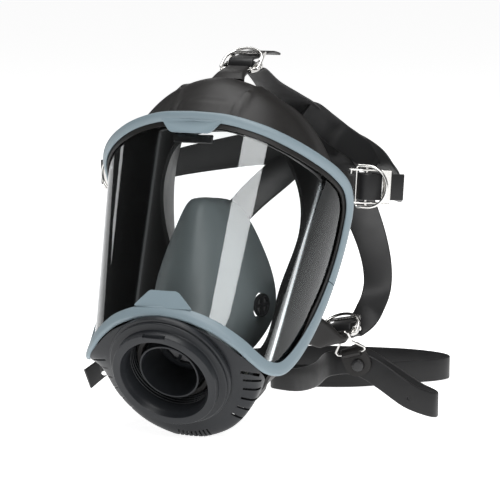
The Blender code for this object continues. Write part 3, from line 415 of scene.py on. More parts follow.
def clear_plastic(name, tint, gloss_ior):
    """A clear wall: what is behind shows through, under a sharp Fresnel reflection."""
    mat = bpy.data.materials.new(name)
    mat.use_nodes = True
    nodes, links = mat.node_tree.nodes, mat.node_tree.links
    shader = nodes["Principled BSDF"]
    shader.inputs["Base Color"].default_value = (0.95, 0.97, 0.98, 1)
    shader.inputs["Metallic"].default_value = 1.0
    where = nodes.new("ShaderNodeTexCoord")
    haze = nodes.new("ShaderNodeTexNoise")
    haze.inputs["Scale"].default_value = 40
    haze.inputs["Detail"].default_value = 5.0
    links.new(where.outputs["Object"], haze.inputs["Vector"])
    rough = nodes.new("ShaderNodeMapRange")
    rough.inputs["To Min"].default_value = 0.02
    rough.inputs["To Max"].default_value = 0.06
    links.new(haze.outputs["Fac"], rough.inputs["Value"])
    links.new(rough.outputs["Result"], shader.inputs["Roughness"])
    see = nodes.new("ShaderNodeBsdfTransparent")
    see.inputs["Color"].default_value = (*tint, 1)
    rim = nodes.new("ShaderNodeFresnel")
    rim.inputs["IOR"].default_value = gloss_ior
    both = nodes.new("ShaderNodeMixShader")
    links.new(rim.outputs["Fac"], both.inputs["Fac"])
    links.new(see.outputs["BSDF"], both.inputs[1])
    links.new(shader.outputs["BSDF"], both.inputs[2])
    links.new(both.outputs["Shader"], nodes["Material Output"].inputs["Surface"])
    return mat


GREY = surface("moulded_blue_grey", (0.185, 0.240, 0.270), 0.46, grain=(2600, 0.10),
               mottle=(45, 0.05), worn=0.25)
HOUSING = surface("satin_dark_plastic", (0.0165, 0.0180, 0.0205), 0.36, grain=(2400, 0.16),
                  mottle=(50, 0.10), specular=0.24, worn=0.2)
RUBBER = surface("seal_rubber", (0.0125, 0.0115, 0.0110), 0.44, grain=(1800, 0.14),
                 mottle=(38, 0.18), specular=0.30, worn=0.1)
STRAP = surface("strap_rubber", (0.0120, 0.0120, 0.0126), 0.42, grain=(1500, 0.20),
                mottle=(34, 0.20), blotch=0.10, specular=0.28, sheen=0.03)
CUP = surface("cup_rubber", (0.165, 0.190, 0.196), 0.42, grain=(1700, 0.12), mottle=(40, 0.12))
VALVE = surface("valve_rubber", (0.16, 0.16, 0.165), 0.5, grain=(1500, 0.1), mottle=(80, 0.1))
STEEL = surface("nickel_plate", (0.66, 0.65, 0.63), 0.16, metallic=1.0, grain=(700, 0.05),
                mottle=(120, 0.06), blotch=0.06)
BLACK = surface("black_plastic", (0.014, 0.014, 0.015), 0.36, grain=(2200, 0.12),
                mottle=(90, 0.12), worn=0.15)
FILM = surface("diaphragm_film", (0.42, 0.42, 0.38), 0.3, grain=(1200, 0.05), mottle=(60, 0.05))
CLEAR = clear_plastic("clear_visor", (0.955, 0.965, 0.965), 1.48)


# ---------------------------------------------------------------- visor surface

def visor_point(azimuth, height, offset=0.0):
    """A point on the visor's outer face; azimuth is in degrees from the front."""
    radius = VISOR_RADIUS + VISOR_FLARE * height + offset
    angle = math.radians(azimuth)
    back = VISOR_AXIS_Y + VISOR_LEAN * height
    return Vector((radius * math.sin(angle), back - radius * math.cos(angle) / VISOR_SQUASH,
                   height))


def visor_place(point):
    """Azimuth and height of a point on the visor."""
    back = VISOR_AXIS_Y + VISOR_LEAN * point.z
    return math.degrees(math.atan2(point.x, (back - point.y) * VISOR_SQUASH)), point.z


def visor_normal(azimuth, height):
    around = visor_point(azimuth + 1, height) - visor_point(azimuth - 1, height)
    up = visor_point(azimuth, height + 1) - visor_point(azimuth, height - 1)
    return around.cross(up).normalized()


OPENING_TOP = [(0, 86), (14, 84.5), (28, 78.5), (42, 69), (56, 58), (68, 48), (78, 38)]
OPENING_SIDE = [(85, 26), (89, 12), (92, -4), (92.5, -19), (90, -33), (86, -44), (80, -55)]
OPENING_CORNER = [(74, -63), (68, -67), (60, -65)]
OPENING_ARCH = [(52, -59), (44, -51.5), (35, -44), (26, -37.5), (13, -31.5), (0, -29.5)]
CHIN_EDGE = [Vector(p) for p in ((54, -8, -77), (43, 0, -90), (25, 8, -102), (0, 12, -107))]


def surface_points(pairs):
    """A smooth run of (azimuth, height) places on the visor."""
    return [(p.x, p.y) for p in spline([Vector((a, h, 0)) for a, h in pairs], 24)]


def opening_half():
    """The visor opening's +X half, from the brow down the side and under the arch."""
    return surface_points(OPENING_TOP + OPENING_SIDE + OPENING_CORNER + OPENING_ARCH)


def spread(pairs, count):
    """The outline's pairs at even steps of its length."""
    flat = [Vector((a * ARC_PER_DEGREE, h, 0)) for a, h in pairs]
    return [(p.x / ARC_PER_DEGREE, p.y) for p in evenly(flat, count)]


def rim_frames(pairs):
    """Point, outward-in-surface and normal direction at each outline pair."""
    points = [visor_point(a, h) for a, h in pairs]
    frames = []
    for i, (a, h) in enumerate(pairs):
        ahead = points[min(i + 1, len(points) - 1)] - points[max(i - 1, 0)]
        if i in (0, len(pairs) - 1) and abs(a) < 1e-6:
            ahead = Vector((ahead.x, 0, 0))
        normal = visor_normal(a, h)
        frames.append((points[i], -ahead.normalized().cross(normal).normalized(), normal))
    return frames


def at(rim, outward, lift):
    """A point so far out from the outline and so far off the visor's face."""
    point, b, n = rim
    return point + b * outward + n * lift


LENS_COLUMNS = 72
LENS_ROWS = 20


def build_lens():
    """The visor: a fine skin on the cone, with its thickness and its edge."""
    half = spread(opening_half(), 200)
    edge = [visor_place(at(rim, VISOR_UNDER_RIM, 0)) for rim in rim_frames(half)]
    widest = max(range(len(edge)), key=lambda i: edge[i][0])
    top = [(max(a, 0.0), h) for a, h in edge[:widest + 1]]
    bottom = [(max(a, 0.0), h) for a, h in reversed(edge[widest:])]
    skins = []
    for lift in (0.0, -VISOR_THICKNESS):
        grid = []
        for k in range(-LENS_COLUMNS, LENS_COLUMNS + 1):
            azimuth = edge[widest][0] * 0.9995 * math.sin(math.pi / 2 * abs(k) / LENS_COLUMNS)
            high, low = between(top, azimuth), between(bottom, azimuth)
            column = []
            for j in range(LENS_ROWS + 1):
                h = low + (high - low) * j / LENS_ROWS
                p = visor_point(azimuth, h) + visor_normal(azimuth, h) * lift
                column.append(p if k >= 0 else mirrored(p))
            grid.append(column)
        skins.append(grid)
    rows = [outer + list(reversed(inner)) for outer, inner in zip(*skins)]
    piece("lens_clear", lofted(rows, capped=True), CLEAR, stands_for=("lens",),
          sharp=50)


def bezel_width(height):
    """The rim widens toward the chin."""
    return 6.8 + 1.9 * min(max((80 - height) / 140, 0.0), 1.0)


def skirt_depth(azimuth, height):
    """How far the rim's outer wall reaches back past the visor's face."""
    if height > -20:
        return 5.4
    if height > -34 and abs(azimuth) > 75:
        return 5.4 - 7.0 * (-20 - height) / 14
    return -1.6


def bezel_row(rim, azimuth, height):
    """Section of the rim: a face that swells outward, a soft outer edge and the skirt."""
    w = bezel_width(height)
    s = -skirt_depth(azimuth, height)
    corners = [(0, 1.8), (0, 3.0), (1.4, 4.1), (w * 0.5, 4.9), (w - 1.2, 4.8), (w, 3.4), (w, s),
               (w - 2.2, s), (w - 2.2, 1.8)]
    return [at(rim, p.x, p.y) for p in rounded([(b, n) for b, n in corners], 0.8, 3)]


def on_visor(pairs, low, high, radius=2.0):
    """A small raised plate that follows the visor's face."""
    outline = rounded([Vector((a * ARC_PER_DEGREE, h)) for a, h in pairs], radius, 5)
    fine = []
    for p, q in zip(outline, outline[1:] + outline[:1]):
        steps = max(int((q - p).length / 1.5), 1)
        fine += [p.lerp(q, k / steps) for k in range(steps)]
    rows = []
    for lift in (low, high):
        places = [(p.x / ARC_PER_DEGREE, p.y) for p in fine]
        rows.append([visor_point(a, h) + visor_normal(a, h) * lift for a, h in places])
    return lofted(rows, capped=True)


BROW_TAB = [(13.5, 87), (8.6, 78.3), (-8.6, 78.3), (-13.5, 87)]
CHIN_TAB = [(15, -31.8), (6.8, -21), (-6.8, -21), (-15, -31.8)]
SEAM_HEIGHT = -21


def build_bezels():
    """Upper and lower rims, which meet at a seam on each side."""
    half = opening_half()
    seam = max(i for i, (a, h) in enumerate(half) if h > SEAM_HEIGHT and a > 60)
    for name, part in (("upper", half[:seam + 1]), ("lower", half[seam + 1:])):
        pairs = spread(part, 110)
        rows = [bezel_row(rim, a, h) for rim, (a, h) in zip(rim_frames(pairs), pairs)]
        if name == "upper":
            rows = [[mirrored(p) for p in row] for row in reversed(rows[1:])] + rows
            extra = on_visor(BROW_TAB, 2.4, 4.25)
        else:
            rows += [[mirrored(p) for p in row] for row in reversed(rows[:-1])]
            extra = on_visor(CHIN_TAB, 2.0, 4.4)
        body = joined([lofted(rows, capped=True), extra])
        piece("bezel_" + name + "_rim", body, GREY,
              stands_for=("bezel_" + name,), bevel=0.25)


# ---------------------------------------------------------------- face seal

SEAL_HALF = 110
SEAL_SHARES = (0.0, 0.068, 0.136, 0.216, 0.34, 0.42, 0.50)
SEAL_BULGE = ((0, 36, 112), (40, 40, 98), (66, 54, 64), (79, 70, 6), (62, 50, -58),
              (40, 34, -92), (0, 34, -109))
SEAL_REAR = ((0, 74, 102), (38, 82, 88), (60, 94, 50), (66, 100, 4), (51, 84, -52),
             (34, 64, -84), (0, 58, -102))
SEAL_LIP = ((0, 46, 75), (34, 52, 66), (49, 57, 40), (50, 60, 8), (37, 57, -32),
            (27, 52, -71), (0, 48, -91))
SKIN = 3.8


def seal_loop(controls):
    """The +X half of a closed loop, with its points shared out to match the front edge."""
    fine = spline(both_sides([Vector(p) for p in controls]), 96, closed=True)
    result = []
    for i in range(SEAL_HALF + 1):
        share = 0.5 * i / SEAL_HALF
        k = max(j for j in range(len(SEAL_SHARES) - 1) if SEAL_SHARES[j] <= share)
        step = (share - SEAL_SHARES[k]) / (SEAL_SHARES[k + 1] - SEAL_SHARES[k])
        result.append(fine[min(round((k + min(step, 1.0)) * 96), 96 * (len(controls) - 1))])
    return result


def seal_edge_frames():
    """Frames along the rubber's front edge: round the visor, then round the chin."""
    frames = rim_frames(spread(surface_points(OPENING_TOP + OPENING_SIDE + [OPENING_CORNER[0]]),
                               260))
    last = frames[-1]
    curve = spline([last[0]] + CHIN_EDGE, 30)[5:]
    for i, point in enumerate(curve):
        ahead = curve[min(i + 1, len(curve) - 1)] - curve[max(i - 1, 0)]
        if i == len(curve) - 1:
            ahead = Vector((-1, 0, 0))
        normal = last[2].lerp(Vector((0, -0.93, 0.36)), min((i + 1) / 78, 1.0))
        normal = (normal - ahead * (normal.dot(ahead) / ahead.length_squared)).normalized()
        frames.append((point, normal.cross(ahead).normalized(), normal))
    reach = lengths([f[0] for f in frames])
    chosen = []
    k = 0
    for i in range(SEAL_HALF + 1):
        want = reach[-1] * i / SEAL_HALF
        while k < len(reach) - 1 and abs(reach[k + 1] - want) <= abs(reach[k] - want):
            k += 1
        chosen.append(frames[k])
    return chosen


def inward(point, distance):
    return point + (Vector((0, point.y, -5)) - point).normalized() * distance


RIB_HEIGHT = 1.8
PANEL_HEIGHT = 1.4
RIB_ROWS = 23


def seal_rows():
    """Sections of the rubber, from the visor's edge out, back and in to the face lip."""
    edges = seal_edge_frames()
    bulge, rear, lip = (seal_loop(c) for c in (SEAL_BULGE, SEAL_REAR, SEAL_LIP))
    rows = []
    for edge, b, c, d in zip(edges, bulge, rear, lip):
        flap = -3.0 + 5.0 * min(max((-42 - edge[0].z) / 12, 0.0), 1.0)
        front = [at(edge, *p) for p in ((3.0, 0.6), (flap, 0.6), (flap, 1.4), (4.3, 1.4),
                                        (4.3, -5.0))]
        wall = spline([at(edge, 4.3, -7.0), b, c, inward(c, 3) + Y * 2.5, d], 14)
        # Two moulded ribs run back over the forehead, with a plain raised panel between.
        for i, p in enumerate(wall[1:RIB_ROWS + 1]):
            if p.z > 60:
                rib = math.exp(-((abs(p.x) - 22 - 0.12 * p.y) / 2.0) ** 2)
                panel = min(max((15.5 - abs(p.x)) / 1.2, 0), 1) * (1 <= i <= 5)
                lift = RIB_HEIGHT * rib * min(i / 3, 1, (RIB_ROWS - i) / 5)
                lift += PANEL_HEIGHT * panel
                p += Vector((0, -0.35, 0.94)) * lift
        back = spline([inward(d, -2.8) - Y * 0.5, inward(c, 1.5) - Y * 8, inward(b, SKIN),
                       at(edge, -1.2, -10.8)], 7)
        tail = [at(edge, *p) for p in ((flap, -5.2), (flap, -3.0), (3.0, -3.0))]
        rows.append(front + wall + back + tail)
    return rows + [[mirrored(p) for p in row] for row in reversed(rows[1:-1])]


BAR_Y = -11.0
TAB_END = -8.9
TOP_BUCKLE = placed(Vector((0, 79, 118)), Vector((0, 0.978, 0.208)), Vector((0, -0.208, 0.978)))
TEMPLE_BUCKLE = placed(Vector((92, 76, 39)), Vector((0.80, 0.60, -0.05)), Vector((0.6, -0.8, 0)))
CHEEK_BUCKLE = placed(Vector((68, 95, -66)), Vector((-0.08, 0.97, 0.10)),
                      Vector((-0.2, -0.14, 1)))
BUCKLES = (("top", TOP_BUCKLE),
           ("temple_left", TEMPLE_BUCKLE),
           ("temple_right", mirrored_placement(TEMPLE_BUCKLE)),
           ("cheek_left", CHEEK_BUCKLE),
           ("cheek_right", mirrored_placement(CHEEK_BUCKLE)))
# Where each tab leaves the seal, and how long it runs straight before its buckle.
TAB_ROOTS = {"top": ((0, 52, 109), 6), "temple": ((66, 55, 45), 6),
             "cheek": ((55.5, 57, -58), 14)}
TAB_THICKNESS = 5.0
CHEEK_TAB_EDGE = (0.12, 0.1, 1.0)


def tab_body(name, placement):
    """Rubber tab from the seal to a buckle's front bar."""
    side = -1 if name.endswith("right") else 1
    root, straight = TAB_ROOTS[name.split("_")[0]]
    root = side_of(root, side)
    across = placement.to_3x3() @ X
    edge = across
    if name.startswith("cheek"):
        edge = side_of(CHEEK_TAB_EDGE, side) * side
    tip = placement @ Vector((0, TAB_END, 0))
    near = placement @ Vector((0, TAB_END - straight, -0.6))
    middle = root.lerp(near, 0.5) + (placement.to_3x3() @ Z) * 1.0
    return ribbon([(root, edge, 25), (middle, across.lerp(edge, 0.5), 21),
                   (near, across, 19), (tip, across, 18.4)], TAB_THICKNESS, 8)


def build_seal():
    """Face seal with its five buckle tabs."""
    parts = [lofted(seal_rows(), closed_along=True)]
    for name, placement in BUCKLES:
        tab = tab_body(name, placement)
        cutters = [round_bar(placement @ Vector((-14, BAR_Y, 0)),
                             placement @ Vector((14, BAR_Y, 0)), 1.5)]
        if name.startswith("cheek"):
            leg = 2.7 if name.endswith("left") else -2.7
            cutters.append(moved(box((leg - 1.8, -23.4, -9), (leg + 1.8, -15.2, 9)), placement))
        parts.append(carved(tab, cutters))
    piece("seal_skin", joined(parts), RUBBER, stands_for=("face_seal",), sharp=48)


# ---------------------------------------------------------------- chin housing and inlet

HOUSING_HALF = 56
HOUSING_SKIN = 2.4
COLLAR = ((42.7, 12.6), (42.7, 10.7), (42.3, 9.6), (41.6, 9.2), (38.2, 9.2), (38.2, 13.5))
# Breathing slots: side, places round the wall, their start, middle and end along it, half width
# and depth.
SLOTS = ((1, (51, 52, 53, 54, 55, 56), (6, 9, 12), 0.65, 6.0),
         (-1, (54, 55), (6, 9, 12), 0.65, 6.0),
         (1, (27, 30, 33, 36, 39, 42), (6, 9, 13), 0.9, 6.0),
         (-1, (27, 30, 33, 36, 39, 42), (6, 9, 13), 0.7, 0.8))


def housing_rear_half():
    """Rear edge of the housing, from under the arch down to the chin."""
    arch = [(0, -29.5), (13, -31.5), (26, -37.5), (35, -44), (44, -51.5), (52, -59), (59, -64)]
    rims = rim_frames(surface_points(list(reversed(arch))))
    top = [at(f, 9.8, 2.0) for f in reversed(rims)]
    chin = [Vector(p) for p in ((57, -19, -82), (47, -12, -97), (28, -4, -112), (0, 1, -119))]
    return evenly(spline(evenly(top, 5) + chin, 24), HOUSING_HALF + 1)


def inlet_circle(radius, depth, count):
    """The +X half of a circle round the inlet's axis."""
    placement = inlet_frame()
    return [placement @ Vector((radius * math.sin(math.pi * i / count),
                                radius * math.cos(math.pi * i / count), -depth))
            for i in range(count + 1)]


def housing_inward(point):
    return point + (Vector((0, 0, -70)) - point).normalized() * HOUSING_SKIN


def build_housing():
    """Chin housing: a swelling shell with a collar for the inlet, cut by slots."""
    rear = housing_rear_half()
    front = inlet_circle(42.3, 13.5, HOUSING_HALF)
    walls = []
    for i, (a, b) in enumerate(zip(rear, front)):
        bulge = 11.5 * max((i / HOUSING_HALF - 0.2) / 0.8, 0.0)
        point = a.lerp(b, 0.5)
        outward = Vector((point.x, 0, point.z + 72)).normalized()
        walls.append(spline([a, point + outward * bulge, b], 8))
    outer = [[w[k] for w in walls] for k in range(len(walls[0]))]
    inner = [[housing_inward(p) for p in row] for row in reversed(outer[:-1])]
    collar = [inlet_circle(r, d, HOUSING_HALF) for r, d in COLLAR]
    rows = [both_sides(row) for row in outer + collar + inner]
    cutters = [box((-60, -80, -140), (60, 60, FLOOR))]
    for side, places, span, wide, deep in SLOTS:
        for i in places:
            start, centre, end = (side_of(walls[i][k], side) for k in span)
            outward = Vector((centre.x, 0, centre.z + 72))
            slot = placed(centre, end - start, outward)
            half = (end - start).length / 2
            cutters.append(moved(box((-wide, -half, -deep), (wide, half, 8)), slot))
    body = carved(lofted(rows, closed_along=True), cutters)
    piece("housing_shell", body, HOUSING, stands_for=("component_housing",),
          sharp=40)


# Outlines round the inlet's axis, as radius and height.
INLET_RING = [(31.0, 0), (36.4, 0), (36.4, -6.5), (41, -7.2), (41, -8.8), (37.6, -8.8),
              (37.6, -11.5), (35.0, -14.5), (35.0, -19), (28.5, -19)]
THREAD_DEPTHS = (-17.6, -15.2, -12.8)
INLET_MOUTH = [(28.5, -9.0), (28.8, -5.6), (29.6, -3.4), (30.2, -2.4), (30.6, -0.6)]
INLET_SLEEVE = [(19.5, -9), (21.0, -9), (21.0, -21.4), (28.0, -21.4), (28.0, -19.4),
                (35.0, -19.4), (35.0, -23.0), (21.4, -23.0), (21.4, -44), (19.5, -44)]


def build_inlet():
    """Inlet ring with its thread grooves and top notch, and the tube inside it."""
    placement = inlet_frame()
    ring = rounded(INLET_RING, 0.7, 3, False)
    bore = []
    for depth in THREAD_DEPTHS:
        bore += [(28.5, depth), (28.9, depth + 0.3), (28.9, depth + 0.8), (28.5, depth + 1.1)]
    bore += INLET_MOUTH
    profile = [Vector(p) for p in ring] + [Vector(p) for p in bore]
    notch = box((-8, 34.0, -2.2), (8, 39.4, 2))
    body = carved(revolved(profile, 128), [notch])
    piece("inlet_thread_ring", body, HOUSING, stands_for=("inlet_ring",),
          placement=placement, sharp=30)
    sleeve = rounded(INLET_SLEEVE, 0.5, 3)
    piece("inlet_inner_tube", revolved(sleeve), HOUSING,
          stands_for=("inlet_sleeve",), placement=placement, sharp=30)


# ---------------------------------------------------------------- nose cup

CUP_RIM = ((0, 42, 30), (17, 45, 20), (35, 49, -20), (36, 49, -50), (20, 42, -76), (0, 38, -82))
CUP_BODY = ((0, 14, 33), (14, 16, 26), (34, 16, -20), (34, 14, -50), (20, 6, -79), (0, 6, -87))
CUP_BROW = ((0, -4, 27), (11, -2, 17), (27, -3, -24), (30, -5, -50), (20, -9, -75), (0, -6, -84))
CUP_HALF = 44
CUP_SKIN = 2.0
SIDE_VALVE = (37.5, 22, -38)
SIDE_OUT = (0.97, -0.22, 0.02)
SIDE_VALVE_RADIUS = 8.3


def cup_loop(controls):
    """The +X half of a closed loop round the cup, at even steps."""
    fine = spline(both_sides([Vector(p) for p in controls]), 36, closed=True)
    return evenly(fine[:36 * (len(controls) - 1) + 1], CUP_HALF + 1)


def cup_inward(point):
    return point + (Vector((0, point.y, -30)) - point).normalized() * CUP_SKIN


def build_cup():
    """Nose cup, from its face rim forward to the tube, with a valve hole at each side."""
    rim, body, brow = (cup_loop(c) for c in (CUP_RIM, CUP_BODY, CUP_BROW))
    collar = inlet_circle(25.0, 40, CUP_HALF)
    walls = [spline([a - Y * 0.1, b, c, d], 7) for a, b, c, d in zip(rim, body, brow, collar)]
    outer = [[w[k] for w in walls] for k in range(len(walls[0]))]
    outer.append(inlet_circle(24.6, 36, CUP_HALF))
    inside = [spline([inlet_circle(22, 40.6, CUP_HALF)[i], cup_inward(brow[i] + Y * 2),
                      cup_inward(body[i]), cup_inward(rim[i])], 7) for i in range(CUP_HALF + 1)]
    inner = [inlet_circle(22.0, 36, CUP_HALF)]
    inner += [[w[k] for w in inside] for k in range(len(inside[0]))]
    rows = [both_sides(row) for row in outer + inner]
    cutters = []
    for side in (1, -1):
        centre = side_of(SIDE_VALVE, side)
        out = side_of(SIDE_OUT, side).normalized()
        cutters.append(round_bar(centre - out * 12, centre + out * 12,
                                 SIDE_VALVE_RADIUS, 40))
    body = carved(lofted(rows, closed_along=True), cutters)
    piece("nose_cup_skin", body, CUP, stands_for=("nose_cup",), sharp=50)


# ---------------------------------------------------------------- buckles

EAR_X = 11.2
BAIL_Y = -7.1
BAIL_HALF = 14.0
BAIL_END = 12.0
BAIL_LIFT = math.atan2(9.2, BAIL_END - BAIL_Y)
WIRE_RADIUS = 1.0
EAR_SIDE = [(-13.0, -1.6), (-9.0, -2.4), (-3.0, -3.4), (3.0, -3.4), (9.0, 1.6), (16.0, 4.4),
            (16.0, 6.4), (8.6, 6.4), (4.0, 3.0), (-3.0, 3.0), (-9.0, 2.0), (-13.0, 1.2)]
EAR_THICKNESS = 1.1
ROLLER_RIBS = 8
RIB_PITCH = 2.25


def buckle_plates():
    """Stamped frame: two ears with turned corners, a bridge and the front bar."""
    curve = rounded([Vector((0, y, z)) for y, z in EAR_SIDE], 1.6, 4)
    parts = [extruded([p + X * x for p in curve], EAR_THICKNESS, X) for x in (EAR_X, -EAR_X)]
    parts.append(box((-11.3, 9.4, 5.2), (11.3, 15.8, 6.3)))
    parts.append(round_bar(Vector((-11.4, BAR_Y, 0)), Vector((11.4, BAR_Y, 0)), 1.0))
    return joined(parts)


def buckle_roller():
    """Black roller with grip ribs round it."""
    profile = [Vector((1.5, -9.2)), Vector((3.1, -9.2))]
    for i in range(ROLLER_RIBS):
        start = -9.0 + i * RIB_PITCH
        profile += [Vector(p) for p in ((3.55, start + 0.25), (3.6, start + 0.5),
                                        (3.6, start + 1.3), (3.55, start + 1.55),
                                        (3.05, start + 1.75), (3.05, start + 2.1))]
    profile += [Vector((3.1, 9.2)), Vector((1.5, 9.2))]
    return moved(revolved(profile, 32), Matrix.Rotation(math.pi / 2, 4, "Y"))


def buckle_bail():
    """D-shaped wire that hangs from the pin and lies over the buckle's bridge."""
    radius = 1.9
    path = []
    for side in (1, -1):
        corner = Vector((side * (BAIL_HALF - radius), radius, 0))
        turn = [corner + Vector((side * radius * math.sin(a), -radius * math.cos(a), 0))
                for a in (k * math.pi / 12 for k in range(7))]
        path.append(turn if side == 1 else list(reversed(turn)))
    length = (BAIL_END - BAIL_Y) / math.cos(BAIL_LIFT)
    straight = 1.0 - BAIL_Y
    arc = [Vector((BAIL_HALF * math.cos(math.pi * i / 36),
                   straight + (length - straight) * math.sin(math.pi * i / 36), 0))
           for i in range(37)]
    body = wire(path[0] + arc + path[1], WIRE_RADIUS, Z)
    return moved(body, Matrix.Rotation(BAIL_LIFT, 4, "X"))


def buckle_pin():
    """Pin with a riveted head at both ends."""
    half = [(0, -14.6), (1.3, -14.6), (1.75, -14.2), (1.75, -13.7), (1.1, -13.4)]
    profile = [Vector(p) for p in half] + [Vector((r, -h)) for r, h in reversed(half)]
    return moved(turned(profile, 20), Matrix.Rotation(math.pi / 2, 4, "Y"))


def build_buckles():
    """Plates, pin, roller and wire of each of the five buckles."""
    for name, placement in BUCKLES:
        piece("frame_plates_" + name, buckle_plates(), STEEL,
              stands_for=("buckle_frame_" + name,), placement=placement, bevel=0.25)
        piece("pin_riveted_" + name, buckle_pin(), STEEL,
              stands_for=("buckle_pin_" + name,), placement=placement)
        piece("roller_ribbed_" + name, buckle_roller(), BLACK,
              body="roller_" + name, stands_for=("buckle_roller_" + name,), placement=placement)
        hinge = placement @ Matrix.Translation((0, BAIL_Y, 0))
        piece("bail_wire_" + name, buckle_bail(), STEEL, body="bail_" + name,
              stands_for=("buckle_bail_" + name,), placement=hinge)


# ---------------------------------------------------------------- straps

STRAP_LOOP = ((26, 2.2), (12, 3.2), (5, 4.4), (0, 4.9), (-3.5, 3.4), (-4.9, 0), (-3.5, -3.6),
              (0, -5.1), (8, -6.0), (20, -8))
ARMS = {
    "top": [((0, 124, 103.5), 21), ((0, 150, 93), 32), ((0, 178, 83), 36), ((0, 204, 66), 40),
            ((0, 214, 40), 40), ((0, 212, 22), 34)],
    "temple_left": [((96, 125, 33), 19), ((86, 165, 28), 21), ((72, 194, 30), 24),
                    ((54, 210, 40), 27), ((28, 216, 49), 30)],
    "temple_right": [((-92, 118, 37), 19), ((-74, 148, 42), 22), ((-46, 184, 47), 26),
                     ((-24, 206, 50), 30)],
    "cheek_left": [((76, 128, -58), 19), ((80, 137, -38), 20), ((70, 155, -14), 22),
                   ((46, 184, 14), 26), ((20, 206, 34), 30)],
    "cheek_right": [((-64, 122, -60), 19), ((-52, 134, -30), 22), ((-36, 162, 6), 26),
                    ((-18, 198, 32), 30)],
}
# The crown plate's web between the brow arm and each temple arm.
CROWN_WEB = [((11, 172, 81), 14), ((13, 181, 77), 18), ((18, 192, 69), 19), ((23, 206, 60), 20),
             ((36, 209, 51), 20), ((54, 208, 39), 20)]
TOP_TAIL = [(48, -4.5), (38, -0.5)]
ARM_ACROSS = {"top": (1, 0, 0), "temple_left": (0, -0.3, 0.95), "temple_right": (0, -0.3, 0.95),
              "cheek_left": (0.75, 0.5, 0.45), "cheek_right": (-0.75, 0.5, 0.45)}


def build_harness():
    """The moulded rubber star: a crown plate and five arms that end in the buckles."""
    placements = dict(BUCKLES)
    parts = []
    for name, points in ARMS.items():
        placement = placements[name]
        first = placement.to_3x3() @ X
        across = Vector(ARM_ACROSS[name])
        if first.dot(across) < 0:
            across = -across
        loop = (TOP_TAIL if name == "top" else []) + list(STRAP_LOOP)
        stations = [(placement @ Vector((0, y, z)), first, 18) for y, z in loop]
        stations += [(p, across, w) for p, w in points]
        if name != "top":
            stations.append(((0, 214, 52), across, 30))
        parts.append(ribbon(stations, STRAP_THICKNESS, 10, end_round=14.0))
    for side in (1, -1):
        parts.append(ribbon([(side_of(p, side), (0.5 * side, 0, 0.85), w)
                             for p, w in CROWN_WEB], STRAP_THICKNESS, 10, end_round=10.0))
    piece("harness_star", joined(parts), STRAP, stands_for=("head_harness",),
          sharp=50)


BUTTON = (84, 88.5, -87)
LINK_OUT = (0.05, -0.99, 0.05)
NECK_WIDTH = 17.0
TILT = (-0.25, 0, 0.97)
TILT_RIGHT = (0.25, 0, 0.97)
UP = (0, 0, 1)
NECK_STATIONS = [
    ((70, 112, -84), TILT), ((88, 124, -97), UP), ((112, 126, -111), UP), ((131, 116, -115), UP),
    ((133, 104, -114.5), UP), ((119, 95, -108), UP), ((101, 92.0, -96), TILT),
    ((93, 90.9, -91), TILT), ((84, 90.1, -87.4), TILT), ((75, 89.8, -86.5), UP),
    ((65, 90.6, -88), UP), ((56, 97, -92), UP), ((40, 118, -104), UP), ((18, 138, -113), UP),
    ((-4, 149, -115), UP), ((-6, 158, -115), UP), ((12, 163, -115), UP), ((48, 178, -115), UP),
    ((76, 204, -115), UP), ((97, 224, -115), UP), ((101, 240, -115), UP), ((84, 250, -115), UP),
    ((50, 250, -115), UP), ((-10, 232, -115), UP), ((-50, 196, -115), UP),
    ((-62, 150, -113), UP), ((-60, 112, -102), UP), ((-65, 92, -90), UP),
    ((-74, 89.8, -86.5), UP), ((-84, 90.1, -87.4), TILT_RIGHT),
    ((-94, 91.0, -91), TILT_RIGHT), ((-104, 87, -98), TILT_RIGHT),
    ((-115, 66, -110), (0.15, 0.1, 0.97))]


def build_neck_strap():
    """The neck strap, with a hole at each button and one near each free end."""
    stations = [(p, across, NECK_WIDTH) for p, across in NECK_STATIONS]
    body = ribbon(stations, STRAP_THICKNESS, 12)
    cutters = []
    for side in (1, -1):
        out = side_of(LINK_OUT, side).normalized()
        centre = side_of(BUTTON, side)
        cutters.append(round_bar(centre - out * 9, centre + out * 9, 3.4))
    cutters.append(round_bar(Vector((-100, 50, -108)), Vector((-112, 92, -108)), 2.0))
    cutters.append(round_bar(Vector((119, 80, -109)), Vector((119, 106, -109)), 1.6))
    piece("neck_strap_band", carved(body, cutters), STRAP,
          stands_for=("neck_strap",), sharp=50)


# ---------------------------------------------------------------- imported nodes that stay

SOFT_EDGE = 0.0003


def finish_nodes():
    """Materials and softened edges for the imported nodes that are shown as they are."""
    finishes = {
        HOUSING: ("inhalation_valve_seat", "exhalation_valve_seat", "exhalation_spring_keeper",
                  "speech_diaphragm_ring"),
        RUBBER: ("inlet_gasket", "neck_link_left", "neck_link_right"),
        BLACK: ("nose_cup_valve_seat_left", "nose_cup_valve_seat_right", "spectacle_clip",
                "neck_button_left", "neck_button_right"),
        VALVE: ("inhalation_valve_disc", "exhalation_valve_disc", "nose_cup_valve_flap_left",
                "nose_cup_valve_flap_right"),
        STEEL: ("bezel_screw_left", "bezel_screw_right", "exhalation_valve_spring",
                "neck_ring_left", "neck_ring_right"),
        FILM: ("speech_diaphragm",),
    }
    for mat, names in finishes.items():
        for name in names:
            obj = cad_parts[name]
            obj.data.materials.clear()
            obj.data.materials.append(mat)
            weld = obj.modifiers.new("weld", "WELD")
            weld.merge_threshold = 2e-6
            edge = obj.modifiers.new("edge", "BEVEL")
            edge.width = SOFT_EDGE
            edge.segments = 2
            edge.limit_method = "ANGLE"
            edge.angle_limit = math.radians(40)


# ---------------------------------------------------------------- stage, light, camera

